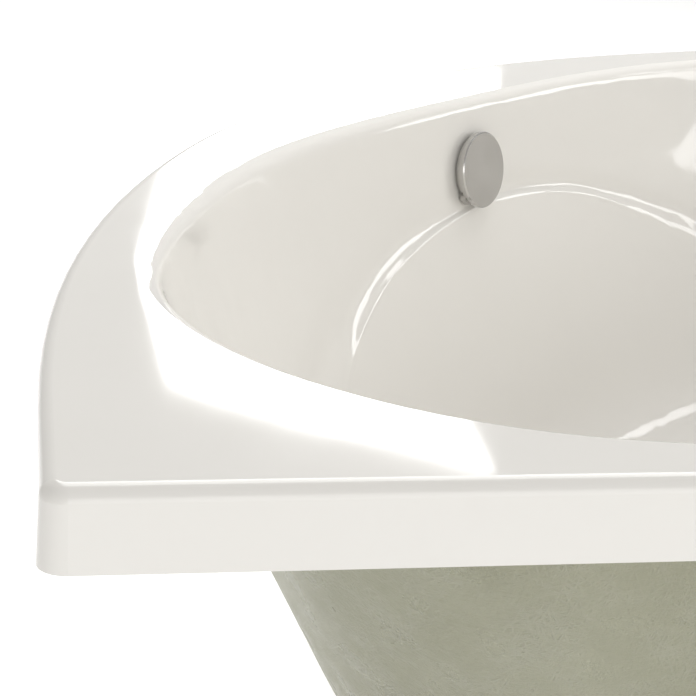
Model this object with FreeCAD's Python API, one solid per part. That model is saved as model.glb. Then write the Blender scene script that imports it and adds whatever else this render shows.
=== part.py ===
import FreeCAD, Part
import math
import os

# Corner bath: a moulded acrylic shell on a height-adjustable steel cradle,
# with a rotary overflow knob that lifts the pop-up plug through a cable.
#
# Working frame: U runs along the long axis of the basin, V runs from the wall
# corner towards the middle of the curved front, Z is up from the floor.
# Everything is turned by plan_turn before it is written, so that the written
# parts have one wall side along X, the other along Y and the floor at Z = 0.

V = FreeCAD.Vector
UP = V(0, 0, 1)
ORIGIN = V(0, 0, 0)
plan_turn = 45.0

# ---------------------------------------------------------------- making
overrun = 1.0                 # how far a cutting tool runs past a face
long_cut = 60.0               # reach of a cutting tool that runs right through
bite = 1.0                    # how far joined parts reach into each other
same_place = 0.01             # edges closer than this to a level lie in it

# ---------------------------------------------------------------- rim and lip
side_length = 1350.0          # each wall side, measured over the lip
rim_height = 560.0            # floor to the top of the deck
lip_depth = 41.0              # turned-down edge of the deck
lip_draft = 2.0               # degrees, the lip leans outwards going down
lip_top_round = 8.0
acrylic_wall = 4.0
laminate_wall = 4.0
laminate_lip_gap = 8.0        # the laminate stops this far above the lip's edge
plan_corner_round = 14.0
least_round = 2.0             # inner roundings never get smaller
front_straight = 122.0        # straight run beside each end of the wall sides
front_flank_radius = 1546.0
front_flank_angle = 22.33     # degrees turned by the flank arc

# ---------------------------------------------------------------- basin
opening_long_semi = 745.0
opening_front_semi = 404.0
opening_back_semi = 396.0
opening_shift = -21.0         # centre of the opening along V
opening_power = 2.14          # 2 is an ellipse, more is squarer
front_flattening = 3.6        # the front edge is flatter than a plain oval
front_ripple_waves = 8.0      # the flattening's waves in one turn
front_start_sine = 0.05       # the front wall's relief starts here round the basin
front_full_sine = 0.55        # and is whole from here
opening_round = 12.0          # roll of the deck into the wall
basin_depth = 395.0
wall_break_depth = 85.0       # where the steep upper wall ends
side_upper_slope = 8.0        # degrees from the vertical
side_lower_slope = 15.0
end_upper_slope = 24.0        # backrests lean much more than the sides
end_lower_slope = 31.0
side_floor_round = 110.0
end_floor_round = 130.0
floor_flat_ring = 30.0        # flat ring of floor that the wall skin includes

# moulded arch on the front wall, under the overflow
arch_centre = 50.0            # place of its top, along U
arch_top_depth = 98.0
arch_fall = 0.00078           # extra depth per square millimetre from the centre
arch_lowest_depth = 225.0
arch_least_band = 18.0        # least height between the shoulder and the arch
arch_step = 5.5               # how far the wall is set back above the arch
arch_ledge = 4.0              # height over which the step is made
ledge_round_share = 0.22      # share of that height that its roundings take
shoulder_top_depth = 70.0
shoulder_fall = 0.00050
shoulder_bend = 0.35          # share of the band over which the wall bends away
plain_shoulder_depth = 98.0   # the same control rows where the wall is plain
plain_arch_depth = 144.0
arch_fade_start = 350.0
arch_fade_end = 560.0
overflow_flat_inner = 36.0    # radius round the overflow where the wall is plain
overflow_flat_outer = 62.0    # radius where the moulded arch has its full height

skin_columns = 144            # control columns round the basin
deck_round_rows = 5
upper_rows = 3
upper_row_spread = 1.6        # above 1 the rows crowd towards the deck
band_rows = 5
lower_rows = 6
floor_round_rows = 6
floor_round_share = 0.78      # share of the floor round that its control rows span

# ---------------------------------------------------------------- under the floor
board_thickness = 18.0
board_half_length = 400.0
board_half_width = 175.0
board_shift = -15.0
board_corner_round = 120.0
board_waste_hole_radius = 60.0
rail_width = 40.0
rail_height = 25.0
rail_wall = 2.0
rail_stud_gap = 0.5
rail_station = 300.0          # distance of each rail from the middle, along U
rail_front_end = 268.0
rail_back_end = -318.0
rail_end_margin = 26.0        # foot centre to the end of its rail
rail_screw_count = 3
rail_screw_pitch = 145.0
screw_shank_radius = 2.0
screw_head_radius = 4.2
screw_head_height = 2.4
screw_length = 15.0
screw_clearance = 0.05
screw_head_round_share = 0.6
screw_slot_width = 0.8
screw_slot_share = 0.6        # reach of the cross slot, of the head's radius
screw_slot_depth_share = 0.55

# ---------------------------------------------------------------- feet
foot_pad_radius = 27.0
foot_pad_height = 9.0
pad_edge_bevel = 1.0
pad_bevel_height = 3.0
pad_bevel_width = 6.0
pad_flare_width = 2.0         # foot of the collar
pad_flare_height = 3.0
pad_rib_count = 6
pad_rib_half_width = 1.0
pad_rib_reach = 5.0
pad_rib_height = 6.0
foot_collar_radius = 12.0
foot_collar_height = 14.0
foot_screw_hole_radius = 2.5
foot_screw_spacing = 38.0
stud_radius = 6.0
stud_seat_depth = 18.0        # how far the stud sits in its pad
stud_above_rail = 13.0
stud_chamfer = 1.0
nut_across_flats = 19.0
nut_height = 9.5
nut_bevel_share = 0.6
thread_clearance = 0.05
washer_radius = 12.0
washer_thickness = 1.6
washer_bore_gap = 0.3

# ---------------------------------------------------------------- corner leg
corner_leg_inset = 164.594     # wall corner to the leg, along the diagonal
leg_tube_side = 30.0
leg_tube_wall = 2.0
leg_tube_bottom = 84.0
leg_insert_height = 16.0
leg_insert_gap = 0.05
leg_plate_side = 90.0
leg_plate_thickness = 3.0
leg_plate_corner_round = 8.0
leg_plate_screw_inset = 13.0
leg_stud_reach = 34.0         # stud inside the tube at rest

# ---------------------------------------------------------------- rim timbers
batten_thickness = 18.0
batten_height = 30.0
batten_end_margin = 70.0
corner_board_thickness = 12.0
corner_board_depth = 330.0    # from the wall corner along the diagonal
front_board_width = 28.0
front_board_thickness = 12.0
front_board_start = 150.0     # ends of the strip, along V
timber_clearance = 0.4
timber_lip_gap = 2.5          # timbers to the inner face of the lip

# ---------------------------------------------------------------- overflow
overflow_depth = 66.0         # deck to the overflow's centre
overflow_hole_radius = 26.0
overflow_spigot_radius = 24.5
knob_radius = 35.5
knob_hub_radius = 7.5
knob_hub_back = 6.6
knob_face_stand_off = 13.0    # wall to the knob's face
knob_band_height = 5.2
knob_wall = 2.0
knob_face_chamfer = 1.1
knob_skirt_radius = 31.5
knob_back_gap = 2.2           # wall to the back of the skirt
knob_bore_blind = 1.0         # metal left in front of the spindle
tab_width = 13.0
tab_length = 5.0
tab_round_share = 0.6
tab_band_overlap = 0.5
tab_angle = 228.0             # round the knob from its right-hand side
collar_radius = 28.6
collar_thickness = 2.2
collar_tail_radius = 22.0
collar_tail_wall = 2.2
collar_tail_length = 12.0
collar_hub_back = 2.0
collar_hub_front = 6.0
collar_hub_radius = 8.0
collar_spoke_width = 5.0
collar_spoke_count = 4
collar_spoke_set_back = 0.6
seal_thickness = 1.2
rear_seal_thickness = 2.5
housing_flange_radius = 34.0
housing_flange_thickness = 4.0
housing_radius = 29.0
housing_depth = 46.0
housing_wall = 2.5
housing_front_wall = 1.5
housing_recess = 2.0          # flange back to the end of the spigot's bore
spigot_front_gap = 0.8        # the spigot ends this far behind the basin's face
spindle_radius = 3.5
spindle_clearance = 0.06
drum_radius = 15.0
drum_thickness = 8.0
drum_groove_depth = 2.0
drum_groove_half = 1.5
drum_back = -32.0            # along the knob's axis
grub_radius = 1.5
grub_level = 8.8
grub_end_gap = 0.5
spindle_boss_radius = 7.0
spindle_boss_length = 8.0
spindle_boss_bite = 0.5
spindle_bore_blind = 1.0
spindle_end_gap = 0.5
pipe_radius = 16.0
pipe_wall = 2.0
pipe_fit = 0.1                # pipe to its sockets
pipe_insert = 10.0            # pipe inside each socket
pipe_nut_radius = 21.2
pipe_nut_height = 18.0
union_spigot_radius = 18.0
union_seal_height = 3.0
union_lip = 3.0
union_rib_count = 12
union_rib_height = 1.2
union_rib_half_width = 1.6
union_rib_set_back = 2.0
union_seal_gap = 0.02
housing_outlet_end = 46.0     # knob axis to the end of the outlet, down the drop
pipe_drop_station = 26.0      # housing flange to the pipe's axis, along the knob's axis
pipe_bend_radius = 62.0
cable_radius = 2.6
cable_side_station = 26.0     # beside the pipe, along U
cable_bend_radius = 120.0
cable_gap = 0.05              # cable to its bores
cable_top_gap = 1.0           # cable's end to the end of its bore
cable_low_gap = 2.0
wire_bore_radius = 1.0
gland_radius = 5.0
gland_length = 12.0
gland_mouth = 5.0             # how far its bore runs past its end
housing_gland_end = 4.0       # inner end of the housing's gland
waste_gland_start = 6.0       # inner end of the waste's gland
clip_width = 8.0
clip_wall = 1.8
clip_gap = 0.05
clip_distances = (110.0, 220.0)   # knob axis to each clip, down the pipe

# ---------------------------------------------------------------- waste
waste_station = 96.0          # along V
waste_hole_radius = 27.0
flange_radius = 36.0
flange_rise = 2.4
flange_edge_height = 0.6
flange_lip_width = 1.2
flange_throat_radius = 20.0
flange_tail_radius = 23.5
flange_tail_length = 34.0
flange_seat_radius = 30.0
flange_seat_drop = 0.4
flange_guide_drop = 12.0
flange_spoke_width = 3.2
flange_spoke_height = 4.0
flange_spoke_count = 3
flange_spoke_bite = 0.5
flange_hub_radius = 6.5
top_seal_thickness = 1.0
under_seal_thickness = 3.0
waste_flange_radius = 39.0
waste_flange_thickness = 5.0
waste_cup_radius = 29.5
waste_cup_wall = 3.0
waste_cup_depth = 62.0
waste_web_count = 8
waste_web_half_width = 1.2
waste_web_height = 12.0
waste_web_margin = 2.0        # flange edge to the web's outer end
waste_web_bite = 1.5
waste_inlet_start = 8.0       # how far the inlet reaches into the cup's wall
waste_inlet_bore_start = 14.0
neck_overlap = 1.0            # flange tail below the top of the cup's hollow
inlet_drop = 38.0             # laminate to the side inlet's axis
waste_inlet_end = 49.5        # waste axis to the end of the side inlet
waste_gland_end = 36.0
outlet_radius = 23.9          # outside of the outlet thread
outlet_bore_radius = 19.0
outlet_length = 22.0
plug_radius = 29.0
plug_dome = 3.0
plug_rim = 2.0
plug_gap = 0.4                # plug to its seat
plug_seal_radius = 24.6
plug_seal_height = 1.6
plug_dome_steps = 6
stem_radius = 3.0
stem_clearance = 0.06
stem_gap = 0.3                # stem to the rocker's roller
stem_bite = 1.5               # stem inside the cap
plug_lift = 10.0
rocker_arm = 18.0
rocker_roller_radius = 2.6
rocker_width = 9.0
rocker_pin_radius = 2.0
rocker_pin_left = 23.3
rocker_pin_right = 21.5
rocker_eye_radius = 4.2
rocker_link_half = 1.4
rocker_link_inset = 1.5
rocker_drop = 41.0            # laminate to the rocker pin

# ---------------------------------------------------------------- derived levels
floor_top = rim_height - basin_depth
floor_back = floor_top - acrylic_wall
laminate_back = floor_back - laminate_wall
board_bottom = laminate_back - board_thickness
rail_bottom = board_bottom - rail_height
deck_back = rim_height - acrylic_wall
deck_laminate_back = deck_back - laminate_wall
half_side = side_length / 2.0
corner_leg_station = corner_leg_inset - side_length * math.sqrt(0.5)
lip_bottom = rim_height - lip_depth
wall_total = acrylic_wall + laminate_wall
corner_board_bottom = deck_laminate_back - corner_board_thickness
inlet_level = laminate_back - inlet_drop
neck_bottom = floor_top + top_seal_thickness - flange_tail_length + neck_overlap
housing_front = -(wall_total + rear_seal_thickness)
housing_flange_back = housing_front - housing_flange_thickness
housing_back = housing_flange_back - housing_depth
drop_axis = housing_flange_back - pipe_drop_station


# ================================================================ small helpers
def disc(radius, bottom, top, u=0.0, v=0.0):
    """Upright cylinder between two heights."""
    return Part.makeCylinder(radius, top - bottom, V(u, v, bottom))


def ring(outer, inner, bottom, top, u=0.0, v=0.0):
    """Upright tube between two heights."""
    return disc(outer, bottom, top, u, v).cut(disc(inner, bottom - overrun, top + overrun, u, v))


def block(u0, u1, v0, v1, z0, z1):
    """Box between two corners."""
    return Part.makeBox(u1 - u0, v1 - v0, z1 - z0, V(u0, v0, z0))


def revolved(profile):
    """Solid of revolution about Z from (radius, height) points."""
    points = [V(radius, 0, height) for radius, height in profile]
    wire = Part.makePolygon(points + [points[0]])
    return Part.Face(wire).revolve(ORIGIN, UP, 360)


def hexagon(across_flats, bore, bottom, height, u, v):
    """Hexagon nut with a plain bore and bevelled corners."""
    corner = across_flats / math.sqrt(3.0)
    points = []
    for k in range(7):
        angle = math.radians(60.0 * k)
        points.append(V(u + corner * math.cos(angle), v + corner * math.sin(angle), bottom))
    prism = Part.Face(Part.makePolygon(points)).extrude(V(0, 0, height))
    bevel = corner - across_flats / 2.0
    rise = bevel * nut_bevel_share
    outer = revolved([(0, 0), (corner - bevel, 0), (corner, rise),
                      (corner, height - rise), (corner - bevel, height), (0, height)])
    outer.translate(V(u, v, bottom))
    return prism.common(outer).cut(disc(bore, bottom - overrun, bottom + height + overrun, u, v))


def level(edge, z):
    """Whether an edge lies flat at a height."""
    box = edge.BoundBox
    return abs(box.ZMin - z) < same_place and abs(box.ZMax - z) < same_place


def write(name, shape):
    """Turn one sub-part into the written frame and export it."""
    turned = shape.copy()
    turned.rotate(ORIGIN, UP, plan_turn)
    if not turned.isValid():
        print("NOT VALID", name)
    turned.exportStep("parts/" + name + ".step")
    box = turned.BoundBox
    print("%-28s solids %d  volume %.0f  z %.1f..%.1f" % (
        name, len(turned.Solids), turned.Volume, box.ZMin, box.ZMax))


# ================================================================ plan outline
def square_point(x, y, z):
    """Point given along the wall sides, in the working frame."""
    root = math.sqrt(0.5)
    return V((x + y) * root, (y - x) * root, z)


def outline(inset, z):
    """Closed plan outline of the bath, moved inwards by inset, at one height."""
    half = half_side - inset
    corner = max(plan_corner_round - inset, least_round)
    angle = math.radians(front_flank_angle)
    flank_centre = (-half_side + front_flank_radius, -half_side + front_straight)
    nose_radius = front_flank_radius - (sum(flank_centre)) / (math.cos(angle) - math.sin(angle))
    step = front_flank_radius - nose_radius
    nose_centre = (flank_centre[0] - step * math.cos(angle), flank_centre[1] + step * math.sin(angle))
    flank = front_flank_radius - inset
    nose = nose_radius - inset

    def on_flank(turn):
        return (flank_centre[0] - flank * math.cos(turn), flank_centre[1] + flank * math.sin(turn))

    def mirrored(point):
        return (-point[1], -point[0])

    start = (-half, -half_side + front_straight)
    joint = on_flank(angle)
    middle = on_flank(angle / 2.0)
    tip = (nose_centre[0] - nose * math.sqrt(0.5), nose_centre[1] + nose * math.sqrt(0.5))
    bulge = corner * (1.0 - math.sqrt(0.5))
    pieces = [
        [(-half + corner, -half), (half - corner, -half)],
        [(half - corner, -half), (half - bulge, -half + bulge), (half, -half + corner)],
        [(half, -half + corner), (half, half - corner)],
        [(half, half - corner), (half - bulge, half - bulge), (half - corner, half)],
        [(half - corner, half), mirrored(start)],
        [mirrored(start), mirrored(middle), mirrored(joint)],
        [mirrored(joint), tip, joint],
        [joint, middle, start],
        [start, (-half, -half + corner)],
        [(-half, -half + corner), (-half + bulge, -half + bulge), (-half + corner, -half)],
    ]
    edges = []
    for piece in pieces:
        points = [square_point(x, y, z) for x, y in piece]
        if len(points) == 2:
            edges.append(Part.makeLine(points[0], points[1]))
        else:
            edges.append(Part.Arc(points[0], points[1], points[2]).toShape())
    return Part.Wire(edges)


def lean_at(z):
    """How far the lip has leaned inwards at a height."""
    return (z - lip_bottom) * math.tan(math.radians(lip_draft))


def pan(inset, bottom, top, edge_round):
    """Solid with the bath's plan outline, leaning out going down, top edge rounded."""
    lower = outline(inset + lean_at(bottom), bottom)
    upper = outline(inset + lean_at(top), top)
    solid = Part.makeLoft([lower, upper], True, True)
    top_edges = []
    for edge in solid.Edges:
        if level(edge, top):
            top_edges.append(edge)
    return solid.makeFillet(edge_round, top_edges)


# ================================================================ basin skins
def smooth(value, low, high):
    """Smooth step from 0 at low to 1 at high."""
    share = min(max((value - low) / (high - low), 0.0), 1.0)
    return share * share * (3.0 - 2.0 * share)


class Profile:
    """Half section of the basin wall: reach from the centre against depth."""

    def __init__(self, reach, upper_slope, lower_slope, floor_round, thickness):
        self.thickness = thickness
        self.round = opening_round
        self.reach = reach
        self.upper = math.radians(upper_slope)
        self.lower = math.radians(lower_slope)
        self.floor_round = floor_round
        # the deck roll is centred outside the opening, so its wall side passes through reach
        self.roll_centre = reach + opening_round
        self.break_reach = reach - (wall_break_depth - opening_round) * math.tan(self.upper)
        # centre of the floor round, from the lower wall line and the floor
        self.floor_centre_depth = basin_depth - floor_round
        wall_reach = self.break_reach - (
            self.floor_centre_depth - wall_break_depth) * math.tan(self.lower)
        self.floor_centre = wall_reach - floor_round / math.cos(self.lower)

    def at(self, depth):
        """Reach at a depth below the deck, on the skin set back by the thickness."""
        roll = self.round - self.thickness
        if depth <= self.thickness:
            return self.roll_centre
        roll_end = self.round - roll * math.sin(self.upper)
        if depth < roll_end:
            rise = self.round - depth
            return self.roll_centre - math.sqrt(max(roll * roll - rise * rise, 0.0))
        floor_radius = self.floor_round + self.thickness
        below = depth - self.floor_centre_depth
        floor_start = -floor_radius * math.sin(self.lower)
        if below > -floor_start:
            below = min(below, floor_radius)
            return self.floor_centre + math.sqrt(max(floor_radius ** 2 - below ** 2, 0.0))
        upper_line = self.roll_centre - roll / math.cos(self.upper) - (
            depth - self.round) * math.tan(self.upper)
        lower_line = self.floor_centre + floor_radius / math.cos(self.lower) - (
            depth - self.floor_centre_depth) * math.tan(self.lower)
        return min(upper_line, lower_line)


def arch_depths(u):
    """Depths of the shoulder line and of the arch line at a place along U."""
    away = u - arch_centre
    arch = min(arch_top_depth + arch_fall * away * away, arch_lowest_depth)
    shoulder = min(shoulder_top_depth + shoulder_fall * u * u, arch - arch_least_band)
    return shoulder, arch


def front_share(sine):
    """How much a place round the basin belongs to the front wall."""
    return smooth(sine, front_start_sine, front_full_sine)


def depth_rows(thickness, floor_radius, u, frontness):
    """Depths of the control rows down the wall at one place round the basin."""
    roll = opening_round - thickness
    rows = []
    for k in range(deck_round_rows):
        turn = math.radians(90.0) * k / (deck_round_rows - 1)
        rows.append(opening_round - roll * math.cos(turn))
    shoulder, arch = arch_depths(u)
    shoulder = plain_shoulder_depth + (shoulder - plain_shoulder_depth) * frontness
    arch = plain_arch_depth + (arch - plain_arch_depth) * frontness
    for k in range(1, upper_rows + 1):
        share = (k / (upper_rows + 1.0)) ** upper_row_spread
        rows.append(opening_round + (shoulder - opening_round) * share)
    ledge_top = arch - arch_ledge / 2.0
    ledge_bottom = arch + arch_ledge / 2.0
    for k in range(band_rows + 1):
        rows.append(shoulder + (ledge_top - shoulder) * k / float(band_rows))
    rows.append(ledge_top + arch_ledge * ledge_round_share)
    rows.append(arch)
    rows.append(ledge_bottom - arch_ledge * ledge_round_share)
    rows.append(ledge_bottom)
    round_start = basin_depth - floor_radius * floor_round_share
    for k in range(1, lower_rows + 1):
        rows.append(ledge_bottom + (round_start - ledge_bottom) * k / float(lower_rows))
    deepest = basin_depth + thickness
    for k in range(1, floor_round_rows + 1):
        turn = math.radians(90.0) * k / floor_round_rows
        rows.append(deepest - (deepest - round_start) * (1.0 - math.sin(turn)))
    rows.append(deepest)
    return rows


def set_back(u, depth, frontness):
    """Outward relief of the front wall between the shoulder and the arch."""
    shoulder, arch = arch_depths(u)
    fade = 1.0 - smooth(abs(u - arch_centre), arch_fade_start, arch_fade_end)
    share = min(max((depth - shoulder) / (arch - arch_ledge / 2.0 - shoulder), 0.0), 1.0)
    if share < shoulder_bend:
        rise = share * share / (2.0 * shoulder_bend)
    else:
        rise = share - shoulder_bend / 2.0
    rise /= 1.0 - shoulder_bend / 2.0
    drop = 1.0 - smooth(depth, arch - arch_ledge / 2.0, arch + arch_ledge / 2.0)
    from_overflow = math.hypot(u, depth - overflow_depth)
    fade *= smooth(from_overflow, overflow_flat_inner, overflow_flat_outer)
    return arch_step * fade * frontness * rise * drop


def basin_skin(thickness):
    """Smooth closed-round surface of the basin, set back by a thickness."""
    front = Profile(opening_front_semi, side_upper_slope, side_lower_slope, side_floor_round, thickness)
    back = Profile(opening_back_semi, side_upper_slope, side_lower_slope, side_floor_round, thickness)
    end = Profile(opening_long_semi, end_upper_slope, end_lower_slope, end_floor_round, thickness)
    floor_radius = max(side_floor_round, end_floor_round)
    poles = []
    for j in range(skin_columns):
        angle = 2.0 * math.pi * j / skin_columns
        cosine = math.cos(angle)
        sine = math.sin(angle)
        power = 2.0 / opening_power
        along = math.copysign(abs(cosine) ** power, cosine)
        across = math.copysign(abs(sine) ** power, sine)
        side = front if sine >= 0.0 else back
        frontness = front_share(sine)
        ripple = front_flattening * frontness * math.cos(front_ripple_waves * (angle - math.pi / 2.0))
        column = []
        for depth in depth_rows(thickness, floor_radius, opening_long_semi * along, frontness):
            u = end.at(depth) * along
            v = side.at(depth) * across
            v += set_back(u, depth, frontness) - ripple * (1.0 - (depth - thickness) / basin_depth)
            column.append(V(u, v + opening_shift, rim_height - depth))
        last = column[-1]
        inner = 1.0 - floor_flat_ring / side.at(basin_depth + thickness)
        column.append(V(last.x * inner, opening_shift + (last.y - opening_shift) * inner, last.z))
        poles.append(column)
    rows = len(poles[0])
    around_knots = list(range(skin_columns + 1))
    around_mults = [1] * (skin_columns + 1)
    down_knots = list(range(rows - 2))
    down_mults = [4] + [1] * (rows - 4) + [4]
    surface = Part.BSplineSurface()
    surface.buildFromPolesMultsKnots(
        poles, around_mults, down_mults, around_knots, down_knots, True, False, 3, 3)
    return surface.toShape()


def level_edge(face, z):
    """The closed edge of a skin that lies at one height."""
    for edge in face.Edges:
        if level(edge, z) and edge.isClosed():
            return edge
    raise ValueError("no level edge at %.2f" % z)


def basin_layer(inner_thickness, outer_thickness):
    """Solid layer of the basin between two set-back skins, with a plain rim wall."""
    inner = basin_skin(inner_thickness)
    outer = basin_skin(outer_thickness)
    inner_top = level_edge(inner, rim_height - inner_thickness)
    drop = outer_thickness - inner_thickness
    rim_wall = inner_top.extrude(V(0, 0, -drop))
    inner_floor = Part.Face(Part.Wire(level_edge(inner, floor_top - inner_thickness)))
    outer_floor = Part.Face(Part.Wire(level_edge(outer, floor_top - outer_thickness)))
    faces = [inner, outer, rim_wall, inner_floor, outer_floor]
    shell = Part.makeCompound(faces)
    shell.sewShape()
    shell = shell.Shells[0] if shell.Shells else Part.Shell(faces)
    solid = Part.Solid(shell)
    if solid.Volume < 0:
        solid.reverse()
    return solid, inner_top


def largest(shape):
    """The biggest solid of a shape that a cut may have split."""
    return max(shape.Solids, key=lambda solid: solid.Volume)


# ================================================================ moulded shell
def deck_plate(inset, bottom, top, edge_round, wall, punch):
    """Deck and turned-down lip of one layer, with the opening punched through."""
    outer = pan(inset, bottom, top, edge_round)
    inner = pan(inset + wall, bottom - overrun, top - wall, max(edge_round - wall, least_round))
    return outer.cut(inner).cut(punch)


def make_shell_layers():
    """Acrylic shell and the laminate bonded to its back."""
    acrylic_basin, opening_edge = basin_layer(0.0, acrylic_wall)
    laminate_basin, hidden_edge = basin_layer(acrylic_wall, acrylic_wall + laminate_wall)
    opening = Part.Face(Part.Wire(opening_edge))
    opening.translate(V(0, 0, overrun))
    punch = opening.extrude(V(0, 0, -long_cut / 2.0))
    acrylic = deck_plate(0.0, lip_bottom, rim_height, lip_top_round, acrylic_wall, punch)
    acrylic = acrylic.fuse(acrylic_basin)
    laminate = deck_plate(acrylic_wall, lip_bottom + laminate_lip_gap, deck_back,
                          lip_top_round - acrylic_wall, laminate_wall, punch)
    laminate = laminate.fuse(laminate_basin)
    holes = [
        wall_place(disc(overflow_hole_radius, -long_cut / 2.0, long_cut / 2.0)),
        disc(waste_hole_radius, laminate_back - overrun, floor_top + overrun, 0.0, waste_station),
    ]
    for hole in holes:
        acrylic = acrylic.cut(hole)
        laminate = laminate.cut(hole)
    return acrylic, laminate


# ================================================================ base board and cradle
def foot_places():
    """Plan places of the four cradle feet: front pair, then back pair."""
    front = rail_front_end - rail_end_margin
    back = rail_back_end + rail_end_margin
    return [(-rail_station, front), (rail_station, front), (-rail_station, back), (rail_station, back)]


def rail_screw_places():
    """Plan places of the screws that hold the rails to the board."""
    places = []
    for side in (-1, 1):
        for k in range(rail_screw_count):
            step = k - (rail_screw_count - 1) / 2.0
            places.append((side * rail_station, board_shift + step * rail_screw_pitch))
    return places


def make_board():
    """Stiffening board under the basin floor, with room for the waste body."""
    board = block(-board_half_length, board_half_length, board_shift - board_half_width,
                  board_shift + board_half_width, board_bottom, laminate_back)
    upright = [edge for edge in board.Edges if edge.BoundBox.ZLength > board_thickness / 2.0]
    board = board.makeFillet(board_corner_round, upright)
    board = board.cut(disc(board_waste_hole_radius, board_bottom - overrun, laminate_back + overrun,
                           0.0, waste_station))
    hole_top = board_bottom - rail_wall + screw_length + overrun
    for u, v in rail_screw_places():
        board = board.cut(disc(screw_shank_radius + screw_clearance, board_bottom - overrun, hole_top, u, v))
    return board


def make_rail(u):
    """Pressed steel channel under the board, open downwards."""
    half = rail_width / 2.0
    rail = block(u - half, u + half, rail_back_end, rail_front_end, rail_bottom, board_bottom)
    hollow = half - rail_wall
    rail = rail.cut(block(u - hollow, u + hollow, rail_back_end - overrun, rail_front_end + overrun,
                          rail_bottom - overrun, board_bottom - rail_wall))
    top_edges = []
    for edge in rail.Edges:
        box = edge.BoundBox
        outside = abs(abs(box.XMin - u) - half) < same_place
        if outside and level(edge, board_bottom) and box.YLength > half:
            top_edges.append(edge)
    rail = rail.makeFillet(rail_wall, top_edges)
    for foot_u, foot_v in foot_places():
        rail = rail.cut(disc(stud_radius + rail_stud_gap, rail_bottom, board_bottom + overrun,
                             foot_u, foot_v))
    for screw_u, screw_v in rail_screw_places():
        rail = rail.cut(disc(screw_shank_radius + screw_clearance, rail_bottom, board_bottom + overrun,
                             screw_u, screw_v))
    return rail


def wood_screw(seat, u, v):
    """Pan-head screw driven upwards, its head under the seat height."""
    shank = disc(screw_shank_radius, seat, seat + screw_length, u, v)
    head = disc(screw_head_radius, seat - screw_head_height, seat, u, v)
    low = seat - screw_head_height
    rim = [edge for edge in head.Edges if level(edge, low)]
    head = head.makeFillet(screw_head_height * screw_head_round_share, rim)
    slot = screw_slot_width / 2.0
    reach = screw_head_radius * screw_slot_share
    slot_end = low + screw_head_height * screw_slot_depth_share
    for du, dv in ((reach, slot), (slot, reach)):
        head = head.cut(block(u - du, u + du, v - dv, v + dv, low - overrun, slot_end))
    return shank.fuse(head)


# ================================================================ feet
def make_pad(u, v):
    """Moulded foot that the stud turns in, with two holes to screw it down."""
    collar_top = foot_pad_height + foot_collar_height
    shoulder = foot_pad_height - pad_bevel_height
    pad = revolved([(0, 0), (foot_pad_radius - pad_edge_bevel, 0), (foot_pad_radius, pad_edge_bevel),
                    (foot_pad_radius, shoulder), (foot_pad_radius - pad_bevel_width, foot_pad_height),
                    (foot_collar_radius + pad_flare_width, foot_pad_height),
                    (foot_collar_radius, foot_pad_height + pad_flare_height),
                    (foot_collar_radius, collar_top), (0, collar_top)])
    pad = pad.cut(disc(stud_radius, collar_top - stud_seat_depth, collar_top + overrun))
    for k in range(pad_rib_count):
        rib = block(foot_collar_radius - bite, foot_collar_radius + pad_rib_reach,
                    -pad_rib_half_width, pad_rib_half_width,
                    foot_pad_height - bite, foot_pad_height + pad_rib_height)
        rib.rotate(ORIGIN, UP, 360.0 / pad_rib_count * (k + 0.5) + plan_turn)
        pad = pad.fuse(rib)
    for side in (-1, 1):
        hole = disc(foot_screw_hole_radius, -overrun, long_cut, side * foot_screw_spacing / 2.0, 0.0)
        hole.rotate(ORIGIN, UP, -plan_turn)
        pad = pad.cut(hole)
    pad.translate(V(u, v, 0))
    return pad


def make_stud(u, v, top):
    """Threaded rod from its seat in the pad up to a height."""
    bottom = foot_pad_height + foot_collar_height - stud_seat_depth
    stud = revolved([(0, bottom), (stud_radius, bottom), (stud_radius, top - stud_chamfer),
                     (stud_radius - stud_chamfer, top), (0, top)])
    stud.translate(V(u, v, 0))
    return stud


def make_foot_hardware():
    """Nuts and washers that clamp the studs to the rails and to the corner leg."""
    nuts = []
    washers = []
    bore = stud_radius + thread_clearance
    washer_bore = bore + washer_bore_gap
    web_bottom = board_bottom - rail_wall
    upper_seat = board_bottom + washer_thickness
    lower_seat = web_bottom - washer_thickness
    for u, v in foot_places():
        washers.append(ring(washer_radius, washer_bore, board_bottom, upper_seat, u, v))
        washers.append(ring(washer_radius, washer_bore, lower_seat, web_bottom, u, v))
        nuts.append(hexagon(nut_across_flats, bore, upper_seat, nut_height, u, v))
        nuts.append(hexagon(nut_across_flats, bore, lower_seat - nut_height, nut_height, u, v))
    nuts.append(hexagon(nut_across_flats, bore, leg_tube_bottom - nut_height, nut_height,
                        0.0, corner_leg_station))
    return Part.makeCompound(nuts), Part.makeCompound(washers)


# ================================================================ corner leg
def leg_plate_screw_places():
    """Plan places of the four screws through the leg's top plate."""
    reach = leg_plate_side / 2.0 - leg_plate_screw_inset
    return [(su * reach, corner_leg_station + sv * reach) for su in (-1, 1) for sv in (-1, 1)]


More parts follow.
